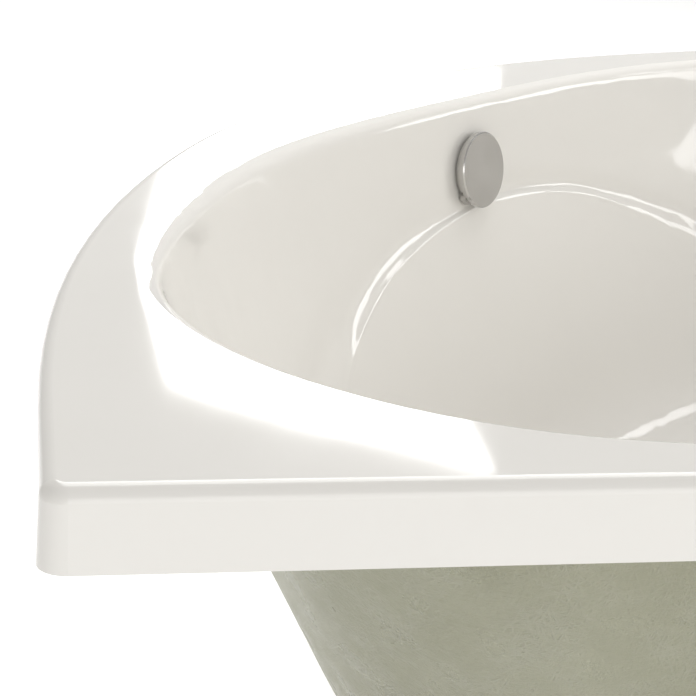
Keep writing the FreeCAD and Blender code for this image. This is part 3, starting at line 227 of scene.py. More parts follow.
class EffectShelf:
    """Builds each shared effect once, as a node group, and hands it out."""

    cloud_noise = Noise(detail=5.0, roughness=0.55, low=0.3, high=0.7)
    strand_cell = (0.055, 0.0026)     # metres of mat to one strand, along and across
    strand_turns = (0.0, 0.55, 1.13, 1.66, 2.2, 2.71)
    strand_edge = (0.12, 0.36)        # of a cell, from a strand's crown to its edge
    strand_patches = Noise(scale=26.0, detail=4.0, roughness=0.7, low=0.42, high=0.62)
    strand_least = 0.1                # of a strand's height, where the resin drowns it
    pits = Noise(scale=330.0, detail=5.0, roughness=0.7, low=0.3, high=0.7)
    pit_depth = 1.3                   # of a strand's height
    scuff_stretch = (1.0, 24.0, 1.0)
    scuff_noise = Noise(detail=6.0, roughness=0.7, low=0.42, high=0.68)
    chip_bend = Noise(scale=120.0)
    chip_shift = 0.006
    wood_stretch = (0.35, 6.0, 6.0)
    wood_wave = {"Distortion": 5.5, "Detail": 4.0, "Detail Scale": 1.6}
    edge_sharpness = (0.505, 0.56)    # pointiness of a flat side and of a rubbed edge
    edge_noise = Noise(detail=4.0)

    def __init__(self) -> None:
        """Start with no group built."""
        self.built: dict[Effect, bpy.types.NodeTree] = {}

    def tree(self, effect: Effect, inputs: dict[str, float],
             outputs: tuple[str, ...]) -> tuple[Graph, bpy.types.Node, bpy.types.Node]:
        """Open a new group with a place input and named values.

        Args:
            effect: the effect that the group is for.
            inputs: its values with what they are unless a finish says otherwise.
            outputs: the names of what it puts out.

        Returns:
            The graph, its input node and its output node.
        """
        group = bpy.data.node_groups.new(effect.value, "ShaderNodeTree")
        group.interface.new_socket("Place", in_out="INPUT", socket_type="NodeSocketVector")
        for name, value in inputs.items():
            socket = group.interface.new_socket(name, in_out="INPUT", socket_type="NodeSocketFloat")
            socket.default_value = value
        for name in outputs:
            group.interface.new_socket(name, in_out="OUTPUT", socket_type="NodeSocketFloat")
        self.built[effect] = group
        graph = Graph(group)
        return graph, group.nodes.new("NodeGroupInput"), group.nodes.new("NodeGroupOutput")

    def cloud(self) -> None:
        """Build the soft uneven patches that every finish uses."""
        graph, given, result = self.tree(Effect.CLOUD, {"Scale": 20.0}, ("Mask",))
        mask = graph.patches(given.outputs["Place"], self.cloud_noise, given.outputs["Scale"])
        graph.join(mask, result, "Mask")

    def strands(self) -> None:
        """Build the random chopped glass strands of a hand-laid mat."""
        graph, given, result = self.tree(Effect.STRANDS, {"Fineness": 1.0}, ("Height", "Mask"))
        scale = graph.join(given.outputs["Place"], graph.add("VectorMath", operation="SCALE"), 0)
        scaled = graph.join(given.outputs["Fineness"], scale, "Scale").outputs[0]
        along, across = self.strand_cell
        total: bpy.types.NodeSocket | None = None
        for turn in self.strand_turns:
            # each layer turns about a point of its own, so that no two layers line up
            layer = graph.add("VectorRotate", {"Angle": turn, "Center": (turn, turn * turn, 0.0)},
                              rotation_type="Z_AXIS")
            laid = graph.stretch(graph.join(scaled, layer, "Vector").outputs[0],
                                 (1.0 / along, 1.0 / across, 1.0))
            cells = graph.add("TexVoronoi", {"Scale": 1.0}, voronoi_dimensions="2D")
            graph.join(laid, cells, "Vector")
            strand = graph.spread(cells.outputs["Distance"], 1.0, 0.0, *self.strand_edge)
            total = strand if total is None else graph.math("MAXIMUM", total, strand)
        shown = graph.math("MULTIPLY", total,
                           graph.patches(scaled, self.strand_patches, least=self.strand_least))
        rough = graph.patches(scaled, self.pits, most=self.pit_depth)
        graph.join(graph.math("ADD", shown, rough), result, "Height")
        graph.join(shown, result, "Mask")

    def scuffs(self) -> None:
        """Build fine rubbed lines that run one way."""
        graph, given, result = self.tree(Effect.SCUFFS, {"Scale": 60.0}, ("Mask",))
        lines = graph.stretch(given.outputs["Place"], self.scuff_stretch)
        graph.join(graph.patches(lines, self.scuff_noise, given.outputs["Scale"]), result, "Mask")

    def chips(self) -> None:
        """Build the pressed chips of a particle board."""
        graph, given, result = self.tree(Effect.CHIPS, {"Scale": 260.0}, ("Mask", "Height"))
        noise = graph.noise(given.outputs["Place"], self.chip_bend)
        shift = graph.add("VectorMath", {"Scale": self.chip_shift}, operation="SCALE")
        graph.join(noise.outputs["Color"], shift, 0)
        moved = graph.join(given.outputs["Place"], graph.add("VectorMath", operation="ADD"), 0)
        graph.join(shift.outputs[0], moved, 1)
        cells = graph.join(moved.outputs[0], graph.add("TexVoronoi"), "Vector")
        graph.join(given.outputs["Scale"], cells, "Scale")
        shades = graph.join(cells.outputs["Color"], graph.add("SeparateColor"), "Color")
        graph.join(shades.outputs["Red"], result, "Mask")
        graph.join(cells.outputs["Distance"], result, "Height")

    def wood(self) -> None:
        """Build growth rings that run along a sawn piece."""
        graph, given, result = self.tree(Effect.WOOD, {"Scale": 9.0}, ("Mask",))
        wave = graph.add("TexWave", self.wood_wave, wave_type="BANDS", bands_direction="Y")
        graph.join(graph.stretch(given.outputs["Place"], self.wood_stretch), wave, "Vector")
        graph.join(given.outputs["Scale"], wave, "Scale")
        graph.join(wave.outputs["Fac"], result, "Mask")

    def edges(self) -> None:
        """Build the mask of corners and edges that hands and tools rub."""
        graph, given, result = self.tree(Effect.EDGES, {"Scale": 90.0}, ("Mask",))
        shape = graph.add("NewGeometry")
        sharp = graph.spread(shape.outputs["Pointiness"], 0.0, 1.0, *self.edge_sharpness)
        noise = graph.noise(given.outputs["Place"], self.edge_noise, given.outputs["Scale"])
        graph.join(graph.math("MULTIPLY", sharp, noise.outputs["Fac"]), result, "Mask")

    def place(self, graph: Graph, effect: Effect, place: bpy.types.NodeSocket,
              **values: float) -> bpy.types.Node:
        """Put a shared effect into a material.

        Args:
            graph: the material's graph.
            effect: the effect to put in.
            place: the coordinates that it reads.
            values: its values for this finish.

        Returns:
            The group's node.
        """
        builders = {Effect.CLOUD: self.cloud, Effect.STRANDS: self.strands, Effect.SCUFFS: self.scuffs,
                    Effect.CHIPS: self.chips, Effect.WOOD: self.wood, Effect.EDGES: self.edges}
        if effect not in self.built:
            builders[effect]()
        node = graph.add("Group")
        node.node_tree = self.built[effect]
        for name, value in values.items():
            node.inputs[name.capitalize()].default_value = value
        return graph.join(place, node, "Place")


EFFECTS = EffectShelf()


# ------------------------------------------------------------------ finishes
@dataclass(frozen=True)
class Finish:
    """A surface whose colour and gloss vary a little from place to place."""

    title: str
    dark: Colour
    light: Colour
    tint_scale: float = 9.0
    smoothest: float = 0.3
    roughest: float = 0.4
    gloss_scale: float = 40.0
    metallic: float = 0.0
    ior: float = 1.5
    relief_scale: float = 400.0
    relief_height: float = 0.0001
    relief_strength: float = 0.15
    glow: float = 0.0

    def material(self) -> bpy.types.Material:
        """Build the finish once, and hand it out.

        Returns:
            The material.
        """
        ready = bpy.data.materials.get(self.title)
        if ready is not None:
            return ready
        material = bpy.data.materials.new(self.title)
        material.use_nodes = True
        graph = Graph(material.node_tree)
        shader = graph.tree.nodes["Principled BSDF"]
        shader.inputs["Metallic"].default_value = self.metallic
        shader.inputs["IOR"].default_value = self.ior
        shader.inputs["Emission Color"].default_value = (*WHITE, 1.0)
        shader.inputs["Emission Strength"].default_value = self.glow
        place = self.coordinates(graph)
        self.colour(graph, place, shader)
        self.gloss(graph, place, shader)
        self.relief(graph, place, shader)
        return material

    def coordinates(self, graph: Graph) -> bpy.types.NodeSocket:
        """Give the coordinates that the patterns read."""
        return graph.add("TexCoord").outputs["Object"]

    def colour(self, graph: Graph, place: bpy.types.NodeSocket, shader: bpy.types.Node) -> None:
        """Lay the colour on in soft patches.

        Args:
            graph: the material's graph.
            place: the coordinates.
            shader: the surface shader.
        """
        mask = EFFECTS.place(graph, Effect.CLOUD, place, scale=self.tint_scale).outputs["Mask"]
        graph.join(graph.between(mask, self.dark, self.light), shader, "Base Color")

    def gloss(self, graph: Graph, place: bpy.types.NodeSocket, shader: bpy.types.Node) -> None:
        """Vary the roughness in soft patches.

        Args:
            graph: the material's graph.
            place: the coordinates.
            shader: the surface shader.
        """
        mask = EFFECTS.place(graph, Effect.CLOUD, place, scale=self.gloss_scale).outputs["Mask"]
        graph.join(graph.spread(mask, self.smoothest, self.roughest), shader, "Roughness")

    def height(self, graph: Graph, place: bpy.types.NodeSocket) -> bpy.types.NodeSocket:
        """Give the height of the fine relief."""
        return EFFECTS.place(graph, Effect.CLOUD, place, scale=self.relief_scale).outputs["Mask"]

    def relief(self, graph: Graph, place: bpy.types.NodeSocket, shader: bpy.types.Node) -> None:
        """Raise the fine relief.

        Args:
            graph: the material's graph.
            place: the coordinates.
            shader: the surface shader.
        """
        bump = graph.add("Bump", {"Strength": self.relief_strength, "Distance": self.relief_height})
        graph.join(self.height(graph, place), bump, "Height")
        graph.join(bump.outputs["Normal"], shader, "Normal")


@dataclass(frozen=True)
class LaidLaminate(Finish):
    """Resin over chopped glass strands, as rolled on by hand."""

    strand_tint: Colour = (0.50, 0.50, 0.41)
    strand_share: float = 0.4
    fineness: float = 1.0

    def strands(self, graph: Graph) -> bpy.types.Node:
        """Put the strand pattern in, on the piece's own map of the mat."""
        place = graph.add("UVMap", uv_map=MAT_MAP).outputs["UV"]
        return EFFECTS.place(graph, Effect.STRANDS, place, fineness=self.fineness)

    def colour(self, graph: Graph, place: bpy.types.NodeSocket, shader: bpy.types.Node) -> None:
        """Lay resin patches on, with paler strands in them.

        Args:
            graph: the material's graph.
            place: the coordinates.
            shader: the surface shader.
        """
        mask = EFFECTS.place(graph, Effect.CLOUD, place, scale=self.tint_scale).outputs["Mask"]
        resin = graph.between(mask, self.dark, self.light)
        share = graph.spread(self.strands(graph).outputs["Mask"], 0.0, self.strand_share)
        mix = graph.add("Mix", {MIX_SECOND: (*self.strand_tint, 1.0)}, data_type="RGBA")
        graph.join(share, mix, MIX_SHARE)
        graph.join(resin, mix, MIX_FIRST)
        graph.join(mix.outputs[MIX_RESULT], shader, "Base Color")

    def height(self, graph: Graph, place: bpy.types.NodeSocket) -> bpy.types.NodeSocket:
        """Give the strands' own height."""
        return self.strands(graph).outputs["Height"]


@dataclass(frozen=True)
class RubbedMetal(Finish):
    """Plated or bare metal with fine scuffs and rubbed edges."""

    scuff_scale: float = 60.0
    scuff_rise: float = 0.12
    edge_rise: float = 0.2

    def gloss(self, graph: Graph, place: bpy.types.NodeSocket, shader: bpy.types.Node) -> None:
        """Roughen the metal along scuffs and rubbed edges.

        Args:
            graph: the material's graph.
            place: the coordinates.
            shader: the surface shader.
        """
        cloud = EFFECTS.place(graph, Effect.CLOUD, place, scale=self.gloss_scale).outputs["Mask"]
        scuff = EFFECTS.place(graph, Effect.SCUFFS, place, scale=self.scuff_scale).outputs["Mask"]
        edge = EFFECTS.place(graph, Effect.EDGES, place).outputs["Mask"]
        base = graph.spread(cloud, self.smoothest, self.roughest)
        scuffed = graph.math("ADD", base, graph.spread(scuff, 0.0, self.scuff_rise))
        rubbed = graph.math("ADD", scuffed, graph.spread(edge, 0.0, self.edge_rise))
        graph.join(rubbed, shader, "Roughness")


@dataclass(frozen=True)
class SawnWood(Finish):
    """Sawn softwood with its rings along the piece."""

    ring_scale: float = 9.0
    turn: float = 0.0

    def coordinates(self, graph: Graph) -> bpy.types.NodeSocket:
        """Turn the coordinates so that the grain runs along the piece."""
        turned = graph.add("VectorRotate", {"Angle": self.turn}, rotation_type="Z_AXIS")
        return graph.join(graph.add("TexCoord").outputs["Object"], turned, "Vector").outputs[0]

    def colour(self, graph: Graph, place: bpy.types.NodeSocket, shader: bpy.types.Node) -> None:
        """Colour the rings.

        Args:
            graph: the material's graph.
            place: the coordinates.
            shader: the surface shader.
        """
        mask = EFFECTS.place(graph, Effect.WOOD, place, scale=self.ring_scale).outputs["Mask"]
        graph.join(graph.between(mask, self.dark, self.light), shader, "Base Color")

    def height(self, graph: Graph, place: bpy.types.NodeSocket) -> bpy.types.NodeSocket:
        """Give the height of the saw marks and rings."""
        return EFFECTS.place(graph, Effect.WOOD, place, scale=self.ring_scale).outputs["Mask"]


@dataclass(frozen=True)
class PressedBoard(Finish):
    """Particle board with its chips."""

    chip_scale: float = 260.0

    def colour(self, graph: Graph, place: bpy.types.NodeSocket, shader: bpy.types.Node) -> None:
        """Give every chip its own shade.

        Args:
            graph: the material's graph.
            place: the coordinates.
            shader: the surface shader.
        """
        mask = EFFECTS.place(graph, Effect.CHIPS, place, scale=self.chip_scale).outputs["Mask"]
        graph.join(graph.between(mask, self.dark, self.light), shader, "Base Color")

    def height(self, graph: Graph, place: bpy.types.NodeSocket) -> bpy.types.NodeSocket:
        """Give the height of the chips."""
        return EFFECTS.place(graph, Effect.CHIPS, place, scale=self.chip_scale).outputs["Height"]


ACRYLIC = Finish("gloss_acrylic", (0.80, 0.783, 0.745), (0.825, 0.808, 0.772), tint_scale=2.2,
                 smoothest=0.035, roughest=0.075, gloss_scale=7.0, ior=1.49,
                 relief_scale=60.0, relief_height=0.0002, relief_strength=0.012)
LAMINATE = LaidLaminate("laid_laminate", (0.315, 0.315, 0.215), (0.43, 0.43, 0.32), tint_scale=6.0,
                        smoothest=0.22, roughest=0.42, gloss_scale=30.0, ior=1.54,
                        relief_height=0.0009, relief_strength=0.85)
ZINC = RubbedMetal("zinc_plate", (0.50, 0.51, 0.53), (0.66, 0.67, 0.68), tint_scale=45.0,
                   smoothest=0.28, roughest=0.42, metallic=1.0)
CHROME = RubbedMetal("satin_chrome", (0.53, 0.52, 0.505), (0.57, 0.56, 0.545), tint_scale=20.0,
                     smoothest=0.16, roughest=0.22, metallic=1.0, scuff_rise=0.04, edge_rise=0.05)
STAINLESS = RubbedMetal("stainless_steel", (0.52, 0.52, 0.51), (0.62, 0.62, 0.61), tint_scale=60.0,
                        smoothest=0.2, roughest=0.3, metallic=1.0)
FOOT_PLASTIC = Finish("black_foot_plastic", (0.018, 0.018, 0.019), (0.034, 0.034, 0.035),
                      smoothest=0.42, roughest=0.6, relief_strength=0.35)
PIPE_PLASTIC = Finish("white_pipe_plastic", (0.66, 0.665, 0.66), (0.74, 0.745, 0.735),
                      smoothest=0.3, roughest=0.44, relief_strength=0.25)
RUBBER = Finish("sealing_rubber", (0.02, 0.02, 0.021), (0.036, 0.035, 0.036),
                smoothest=0.6, roughest=0.78, relief_strength=0.4)
SHEATH = Finish("cable_sheath", (0.10, 0.10, 0.105), (0.15, 0.15, 0.155),
                smoothest=0.4, roughest=0.55, relief_strength=0.3)
PINE_X = SawnWood("pine_along_x", (0.52, 0.33, 0.16), (0.72, 0.52, 0.30), smoothest=0.6,
                  roughest=0.8, relief_height=0.0004, relief_strength=0.5)
PINE_Y = SawnWood("pine_along_y", (0.52, 0.33, 0.16), (0.72, 0.52, 0.30), smoothest=0.6,
                  roughest=0.8, relief_height=0.0004, relief_strength=0.5, turn=math.pi / 2)
BOARD = PressedBoard("particle_board", (0.36, 0.25, 0.14), (0.62, 0.47, 0.29), smoothest=0.6,
                     roughest=0.8, relief_height=0.0003, relief_strength=0.4)
FLOOR = Finish("studio_floor", (0.90, 0.90, 0.90), (0.92, 0.92, 0.92), tint_scale=0.8,
               smoothest=0.7, roughest=0.8, gloss_scale=3.0, relief_strength=0.02, glow=0.35)


# ------------------------------------------------------------------ mesh tools
class Bench:
    """Small mesh jobs that the sub-assemblies share."""

    weld = 0.00002                    # loose triangles closer than this are joined

    @staticmethod
    def clear() -> None:
        """Leave edit mode and deselect everything."""
        if bpy.context.object is not None and bpy.context.object.mode != "OBJECT":
            bpy.ops.object.mode_set(mode="OBJECT")
        bpy.ops.object.select_all(action="DESELECT")

    @staticmethod
    def take(piece: bpy.types.Object) -> bpy.types.Object:
        """Select one object alone and make it active."""
        Bench.clear()
        piece.select_set(True)
        bpy.context.view_layer.objects.active = piece
        return piece

    @staticmethod
    def open_all() -> None:
        """Go into edit mode on the active piece, with all of it selected."""
        bpy.ops.object.mode_set(mode="EDIT")
        bpy.ops.mesh.select_all(action="SELECT")

    @staticmethod
    def close() -> None:
        """Go back to object mode."""
        bpy.ops.object.mode_set(mode="OBJECT")

    @staticmethod
    def start_point(name: str) -> bpy.types.Object:
        """Add a new piece that is a single point at the origin, open and selected."""
        Bench.clear()
        bpy.ops.mesh.primitive_plane_add(size=1.0)
        piece = bpy.context.object
        piece.name = name
        Bench.open_all()
        bpy.ops.mesh.merge(type="CENTER")
        return piece

    @staticmethod
    def draw(move: Point | Vector) -> None:
        """Draw on from what is selected, by one step."""
        bpy.ops.mesh.extrude_region_move(TRANSFORM_OT_translate={"value": move})

    @staticmethod
    def shape(piece: bpy.types.Object, kind: str, **settings: object) -> None:
        """Put one modifier on a piece and apply it.

        Args:
            piece: the piece.
            kind: Blender's name of the modifier's type.
            settings: values for the modifier's own properties.
        """
        Bench.take(piece)
        modifier = piece.modifiers.new(kind.lower(), kind)
        for key, value in settings.items():
            setattr(modifier, key, value)
        bpy.ops.object.modifier_apply(modifier=modifier.name)

    @staticmethod
    def dress(finish: Finish, *nodes: str) -> None:
        """Give carried-over frame parts their finish.

        Args:
            finish: the finish.
            nodes: the names of the frame parts.
        """
        for node in nodes:
            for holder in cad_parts[node].material_slots:
                holder.material = finish.material()

    @staticmethod
    def map_mat(piece: bpy.types.Object) -> None:
        """Lay the mat's map on a piece, in metres, from its six sides."""
        Bench.take(piece)
        while piece.data.uv_layers:
            piece.data.uv_layers.remove(piece.data.uv_layers[0])
        piece.data.uv_layers.new(name=MAT_MAP)
        Bench.open_all()
        bpy.ops.uv.cube_project(cube_size=1.0)
        Bench.close()

    @staticmethod
    def copy_of(node: str, name: str, finish: Finish, angle: float) -> bpy.types.Object:
        """Copy a frame part, join its loose triangles and smooth it.

        Args:
            node: the frame part.
            name: the new piece's name.
            finish: its finish.
            angle: edges sharper than this stay sharp, in radians.

        Returns:
            The new piece, which stands for the frame part.
        """
        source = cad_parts[node]
        piece = bpy.data.objects.new(name, source.data.copy())
        bpy.context.scene.collection.objects.link(piece)
        piece.matrix_world = source.matrix_world.copy()
        Bench.take(piece)
        bpy.ops.object.transform_apply(location=True, rotation=True, scale=True)
        bpy.ops.mesh.customdata_custom_splitnormals_clear()
        Bench.open_all()
        bpy.ops.mesh.remove_doubles(threshold=Bench.weld)
        Bench.close()
        bpy.ops.object.shade_smooth_by_angle(angle=angle)
        Bench.shape(piece, "WEIGHTED_NORMAL", keep_sharp=True)
        piece.data.materials.clear()
        piece.data.materials.append(finish.material())
        return piece


# ------------------------------------------------------------------ sub-assemblies
class SubAssembly(Protocol):
    """What every sub-assembly can do."""

    def build(self) -> None:
        """Build the sub-assembly's pieces and dress them."""


@dataclass(frozen=True)
class BoardTape:
    """The glass-fibre tape that is rolled over the base board's edge onto the basin."""

    half_length: float = 0.4000       # of the board, along the basin
    half_width: float = 0.1750
    shift: float = -0.0150            # of the board's middle, towards the wall corner
    turn: float = -math.pi / 4.0      # transform.rotate turns the other way
    corner: float = 0.1200
    corner_steps: int = 8
    cuts: int = 14                    # of each straight or rounded step
    low: float = 0.1396               # the tape's lower edge
    reach: tuple[tuple[float, float], ...] = (    # out from the board, and up from the lower edge
        (0.0016, 0.0), (0.0016, 0.016), (0.014, 0.02), (0.046, 0.024))
    gap: float = 0.0009
    thickness: float = 0.0011

    def build(self, basin: bpy.types.Object) -> None:
        """Lay the tape round the board and press its skirt onto the basin.

        Args:
            basin: the laminate that the tape lands on.
        """
        tape = self.band()
        skirt = tape.vertex_groups.new(name="skirt")
        foot = self.low + self.reach[1][1] + self.gap
        skirt.add([v.index for v in tape.data.vertices if v.co.z > foot], 1.0, "REPLACE")
        Bench.shape(tape, "SHRINKWRAP", target=basin, wrap_method="PROJECT", use_project_z=True,
                    use_positive_direction=True, use_negative_direction=True, offset=self.gap,
                    vertex_group=skirt.name)
        Bench.shape(tape, "SOLIDIFY", thickness=self.thickness, offset=1.0)
        Bench.take(tape)
        Bench.open_all()
        bpy.ops.mesh.normals_make_consistent(inside=False)
        Bench.close()
        bpy.ops.object.shade_smooth()
        tape.data.materials.append(LAMINATE.material())
        Bench.map_mat(tape)
        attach(tape, "bath")

    def size(self, side: float) -> tuple[float, float]:
        """Give the band's half length and half width at a distance from the board."""
        return self.half_length + side, self.half_width + side

    def band(self) -> bpy.types.Object:
        """Draw the band round the board's edge, with its skirt spread but still flat.

        Returns:
            The tape, without thickness, where the board is.
        """
        Bench.clear()
        bpy.ops.mesh.primitive_plane_add(size=1.0)
        tape = bpy.context.object
        tape.name = "board_edge_tape"
        Bench.open_all()
        long, wide = self.size(self.reach[0][0])
        bpy.ops.transform.resize(value=(2.0 * long, 2.0 * wide, 1.0))
        bpy.ops.mesh.bevel(offset=self.corner, segments=self.corner_steps, affect="VERTICES")
        bpy.ops.mesh.delete(type="ONLY_FACE")
        bpy.ops.mesh.select_all(action="SELECT")
        bpy.ops.mesh.subdivide(number_cuts=self.cuts)
        bpy.ops.transform.translate(value=(0.0, 0.0, self.low))
        for (side, up), (wider, higher) in zip(self.reach, self.reach[1:]):
            Bench.draw((0.0, 0.0, higher - up))
            growth = [new / old for new, old in zip(self.size(wider), self.size(side))]
            bpy.ops.transform.resize(value=(*growth, 1.0), center_override=ORIGIN)
        bpy.ops.mesh.select_all(action="SELECT")
        bpy.ops.transform.rotate(value=self.turn, orient_axis="Z", center_override=ORIGIN)
        diagonal = self.shift * math.sqrt(0.5)
        bpy.ops.transform.translate(value=(-diagonal, diagonal, 0.0))
        Bench.close()
        return tape


@dataclass(frozen=True)
class Shell:
    """The acrylic shell, the laminate that backs it and the board that stiffens its floor."""

    sharp_angle: float = math.radians(38.0)
    tape: BoardTape = BoardTape()

    def build(self) -> None:
        """Dress the acrylic and the board, map the mat on the laminate and tape the board in."""
        Bench.dress(ACRYLIC, "acrylic_shell")
        Bench.dress(BOARD, "base_board")
        back = Bench.copy_of("laminate_backing", "shell_laminate", LAMINATE, self.sharp_angle)
        Bench.map_mat(back)
        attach(back, "bath")
        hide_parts("laminate_backing")
        self.tape.build(back)


@dataclass(frozen=True)
class RimTimbers:
    """The timbers and boards under the deck."""

    boards: tuple[str, ...] = ("rim_corner_board", "rim_front_board")

    def build(self) -> None:
        """Dress the timbers, each with its grain along it."""
        Bench.dress(BOARD, *self.boards)
        Bench.dress(PINE_X, "rim_batten_near_wall")
        Bench.dress(PINE_Y, "rim_batten_right_wall")


@dataclass(frozen=True)
class Cradle:
    """The rails under the basin and the leg under the wall corner."""

    steel: tuple[str, ...] = ("cradle_rail_left", "cradle_rail_right", "rail_screws", "foot_nuts",
                              "foot_washers", "corner_leg_tube", "corner_leg_plate",
                              "corner_leg_insert", "corner_leg_screws")

    def build(self) -> None:
        """Dress the plated steel."""
        Bench.dress(ZINC, *self.steel)


@dataclass(frozen=True)
class Feet:
    """The five feet: a pad and a threaded rod each, with the thread cut to full depth."""

    places: tuple[str, ...] = ("front_left", "front_right", "back_left", "back_right", "corner")
    pitch: float = 0.00175
    depth: float = 0.00107
    crest_start: float = 0.44         # of one pitch
    crest_end: float = 0.56
    steps: int = 14                   # to one turn
    spare_turns: int = 2              # cut off again, one at each end
    weld: float = 0.000005

    def build(self) -> None:
        """Dress the pads, model each length of rod once and put a rod in every foot."""
        Bench.dress(FOOT_PLASTIC, *("foot_pad_" + place for place in self.places))
        lengths: dict[tuple[float, ...], bpy.types.Mesh] = {}
        for place in self.places:
            low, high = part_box("foot_stud_" + place)
            size = (round((high.x - low.x) / 2.0, 6), round(low.z, 6), round(high.z, 6))
            if size not in lengths:
                lengths[size] = self.coil(*size)
            self.rod(place, lengths[size], ((low.x + high.x) / 2.0, (low.y + high.y) / 2.0, 0.0))

    def rod(self, place: str, mesh: bpy.types.Mesh, axis: Point) -> None:
        """Put a rod of its own mesh in one foot.

        Args:
            place: the foot's place name.
            mesh: the rod's mesh, round the Z axis, which is copied.
            axis: where the rod's own axis stands.
        """
        rod = bpy.data.objects.new("foot_rod_" + place, mesh.copy())
        bpy.context.scene.collection.objects.link(rod)
        Bench.take(rod)
        Bench.open_all()
        bpy.ops.transform.translate(value=axis)
        Bench.close()
        rod.data.materials.append(ZINC.material())
        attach(rod, "foot_" + place)
        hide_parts("foot_stud_" + place)

    def coil(self, radius: float, bottom: float, top: float) -> bpy.types.Mesh:
        """Wind one thread profile up the rod and cut it to length.

        Args:
            radius: radius over the thread's crest.
            bottom: height of the lower end.
            top: height of the upper end.

        Returns:
            The rod's mesh, round the Z axis.
        """
        pattern = Bench.start_point("rod_pattern")
        bpy.ops.transform.translate(value=(radius - self.depth, 0.0, bottom - self.pitch))
        rise = self.pitch * self.crest_start
        flat = self.pitch * (self.crest_end - self.crest_start)
        for move in ((self.depth, 0.0, rise), (0.0, 0.0, flat), (-self.depth, 0.0, self.pitch - rise - flat)):
            Bench.draw(move)
        Bench.close()
        turns = math.ceil((top - bottom) / self.pitch) + self.spare_turns
        Bench.shape(pattern, "SCREW", axis="Z", angle=2.0 * math.pi, steps=self.steps,
                    render_steps=self.steps, iterations=turns, screw_offset=self.pitch,
                    use_merge_vertices=True, merge_threshold=self.weld)
        Bench.open_all()
        bpy.ops.mesh.remove_doubles(threshold=self.weld)
        for height, side in ((bottom, -1.0), (top, 1.0)):
            bpy.ops.mesh.select_all(action="SELECT")
            bpy.ops.mesh.bisect(plane_co=(0.0, 0.0, height), plane_no=(0.0, 0.0, side),
                                use_fill=True, clear_outer=True)
        bpy.ops.mesh.select_all(action="SELECT")
        bpy.ops.mesh.normals_make_consistent(inside=False)
        Bench.close()
        mesh = pattern.data.copy()
        bpy.data.objects.remove(pattern)
        return mesh


@dataclass(frozen=True)
class Overflow:
    """The rotary overflow in the front wall, its pipe and the cable that it pulls."""

    plastic: tuple[str, ...] = ("overflow_cable_drum", "overflow_collar", "overflow_housing",
                                "pipe_nut_upper", "pipe_nut_lower", "overflow_pipe", "cable_clips")
    seals: tuple[str, ...] = ("overflow_front_seal", "overflow_rear_seal",
                              "pipe_seal_upper", "pipe_seal_lower")

    def build(self) -> None:
        """Dress the knob, what it turns, the water way and the cable."""
        Bench.dress(CHROME, "overflow_knob")
        Bench.dress(STAINLESS, "overflow_spindle", "overflow_grub_screw")
        Bench.dress(PIPE_PLASTIC, *self.plastic)
        Bench.dress(RUBBER, *self.seals)
        Bench.dress(SHEATH, "lift_cable")


@dataclass(frozen=True)
class Waste:
    """The waste in the basin floor and the plug that the cable lifts."""

    seals: tuple[str, ...] = ("waste_top_seal", "waste_under_seal", "plug_seal")

    def build(self) -> None:
        """Dress the flange, the body, the plug and its rocker."""
        Bench.dress(CHROME, "waste_flange", "plug_cap")
        Bench.dress(STAINLESS, "rocker_pin", "lift_rocker", "plug_stem")
        Bench.dress(PIPE_PLASTIC, "waste_body")
        Bench.dress(RUBBER, *self.seals)


@dataclass(frozen=True)
class Panel:
    """A flat light panel: its corners in order, and how strongly it glows."""

    title: str
    corners: tuple[Point, ...]
    strength: float

    def hang(self) -> None:
        """Draw the panel's outline, fill it and hang it out of the camera's sight."""
        panel = Bench.start_point(self.title)
        bpy.ops.transform.translate(value=self.corners[0])
        for here, there in zip(self.corners, self.corners[1:]):
            Bench.draw(Vector(there) - Vector(here))
        bpy.ops.mesh.select_all(action="SELECT")
        bpy.ops.mesh.edge_face_add()
        Bench.close()
        material = bpy.data.materials.new(self.title)
        material.use_nodes = True
        shader = material.node_tree.nodes["Principled BSDF"]
        shader.inputs["Emission Color"].default_value = (*WHITE, 1.0)
        shader.inputs["Emission Strength"].default_value = self.strength
        panel.data.materials.append(material)
        panel.visible_camera = False
        panel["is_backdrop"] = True


PANELS = (
    Panel("back_panel", (             # what the deck's white band mirrors
        (-0.25, 4.0, 1.2), (-0.27, 4.0, 1.458), (-0.318, 4.0, 1.608), (-0.36, 4.0, 1.745),
        (-0.344, 4.0, 1.838), (-0.313, 4.0, 1.931), (-0.258, 4.0, 2.121), (-0.157, 4.0, 2.171),
        (0.154, 4.0, 2.272), (0.473, 4.0, 2.349), (0.792, 4.0, 2.445), (0.686, 4.0, 2.271),
        (0.71, 4.0, 1.2)), 7.0),
    Panel("top_panel", (              # the even light on deck and basin
        (-1.1, 0.2, 3.2), (1.1, 0.2, 3.2), (1.1, 3.4, 2.6), (-1.1, 3.4, 2.6)), 2.7),
    Panel("side_panel", (             # the highlights along the moulded arch
        (3.0, -0.6, 0.9), (3.0, 1.1, 0.9), (3.0, 1.1, 1.5), (3.0, -0.6, 1.5)), 4.2),
    Panel("high_side_panel", (        # the highlight at the foot of the near wall
        (3.0, -1.3, 1.95), (3.0, 0.9, 1.95), (3.0, 0.9, 2.25), (3.0, -1.3, 2.25)), 4.6),
    Panel("front_panel", (            # the even light on the lip and the laminate
        (-1.2, -4.2, 0.1), (3.4, -3.8, 0.1), (3.4, -3.8, 2.0), (-1.2, -4.2, 2.0)), 1.45))


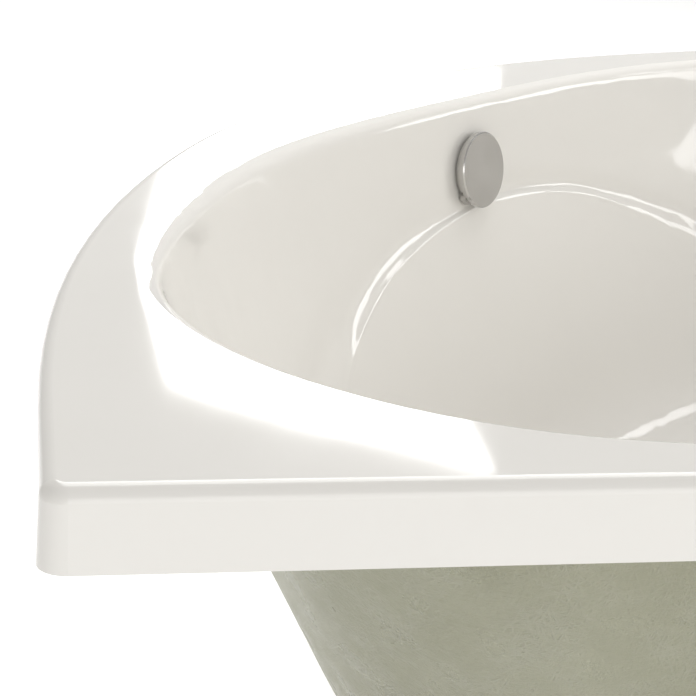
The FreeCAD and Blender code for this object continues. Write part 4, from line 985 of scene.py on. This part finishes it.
@dataclass
class Studio:
    """The pale floor, the lights and the camera."""

    floor_reach: float = 24.0
    floor_parts: int = 16             # to each side
    floor_drop: float = 0.0005
    room_glow: float = 0.51
    room_tint: Colour = (1.0, 0.985, 0.96)
    eye: Point = (-0.67883, -1.44719, 0.87625)
    yaw: float = math.radians(10.11)
    pitch: float = math.radians(17.82)
    roll: float = math.radians(-2.85)
    picture_side: float = 696.0       # pixels
    focal_length: float = 1900.0      # pixels
    sensor: float = 36.0              # millimetres

    def build(self) -> None:
        """Set the whole studio up."""
        self.floor()
        for panel in PANELS:
            panel.hang()
        self.room()
        self.camera()

    def floor(self) -> None:
        """Lay one wide pale floor under the bath and far behind it."""
        Bench.clear()
        bpy.ops.mesh.primitive_grid_add(x_subdivisions=self.floor_parts, y_subdivisions=self.floor_parts,
                                        size=2.0 * self.floor_reach, location=(0.0, 0.0, -self.floor_drop))
        floor = bpy.context.object
        floor.name = "studio_floor"
        bpy.ops.object.transform_apply(location=True, rotation=True, scale=True)
        floor.data.materials.append(FLOOR.material())
        floor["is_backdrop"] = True

    def room(self) -> None:
        """Fill the room with even light."""
        world = bpy.data.worlds.new("room")
        bpy.context.scene.world = world
        world.use_nodes = True
        background = world.node_tree.nodes["Background"]
        background.inputs["Color"].default_value = (*self.room_tint, 1.0)
        background.inputs["Strength"].default_value = self.room_glow
        bpy.context.scene.view_settings.view_transform = "Standard"

    def camera(self) -> None:
        """Stand the camera where the photograph was taken from."""
        ahead = Vector((math.sin(self.yaw) * math.cos(self.pitch),
                        math.cos(self.yaw) * math.cos(self.pitch), -math.sin(self.pitch)))
        level = Vector((math.cos(self.yaw), -math.sin(self.yaw), 0.0))
        down = ahead.cross(level)
        right = math.cos(self.roll) * level + math.sin(self.roll) * down
        under = math.cos(self.roll) * down - math.sin(self.roll) * level
        data = bpy.data.cameras.new("photo_camera")
        data.lens = self.focal_length / self.picture_side * self.sensor
        data.sensor_width = self.sensor
        camera = bpy.data.objects.new("photo_camera", data)
        bpy.context.scene.collection.objects.link(camera)
        matrix = Matrix((right, -under, -ahead)).transposed().to_4x4()
        matrix.translation = Vector(self.eye)
        camera.matrix_world = matrix
        bpy.context.scene.camera = camera


def main() -> None:
    """Build every sub-assembly in order and report its pieces."""
    logging.basicConfig(level=logging.INFO)
    parts: tuple[SubAssembly, ...] = (Shell(), RimTimbers(), Cradle(), Feet(), Overflow(), Waste(), Studio())
    for part in parts:
        part.build()
        log.info("built %s", type(part).__name__)
    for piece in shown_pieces():
        log.info("piece %s", piece.name)


if __name__ == "__main__":
    main()
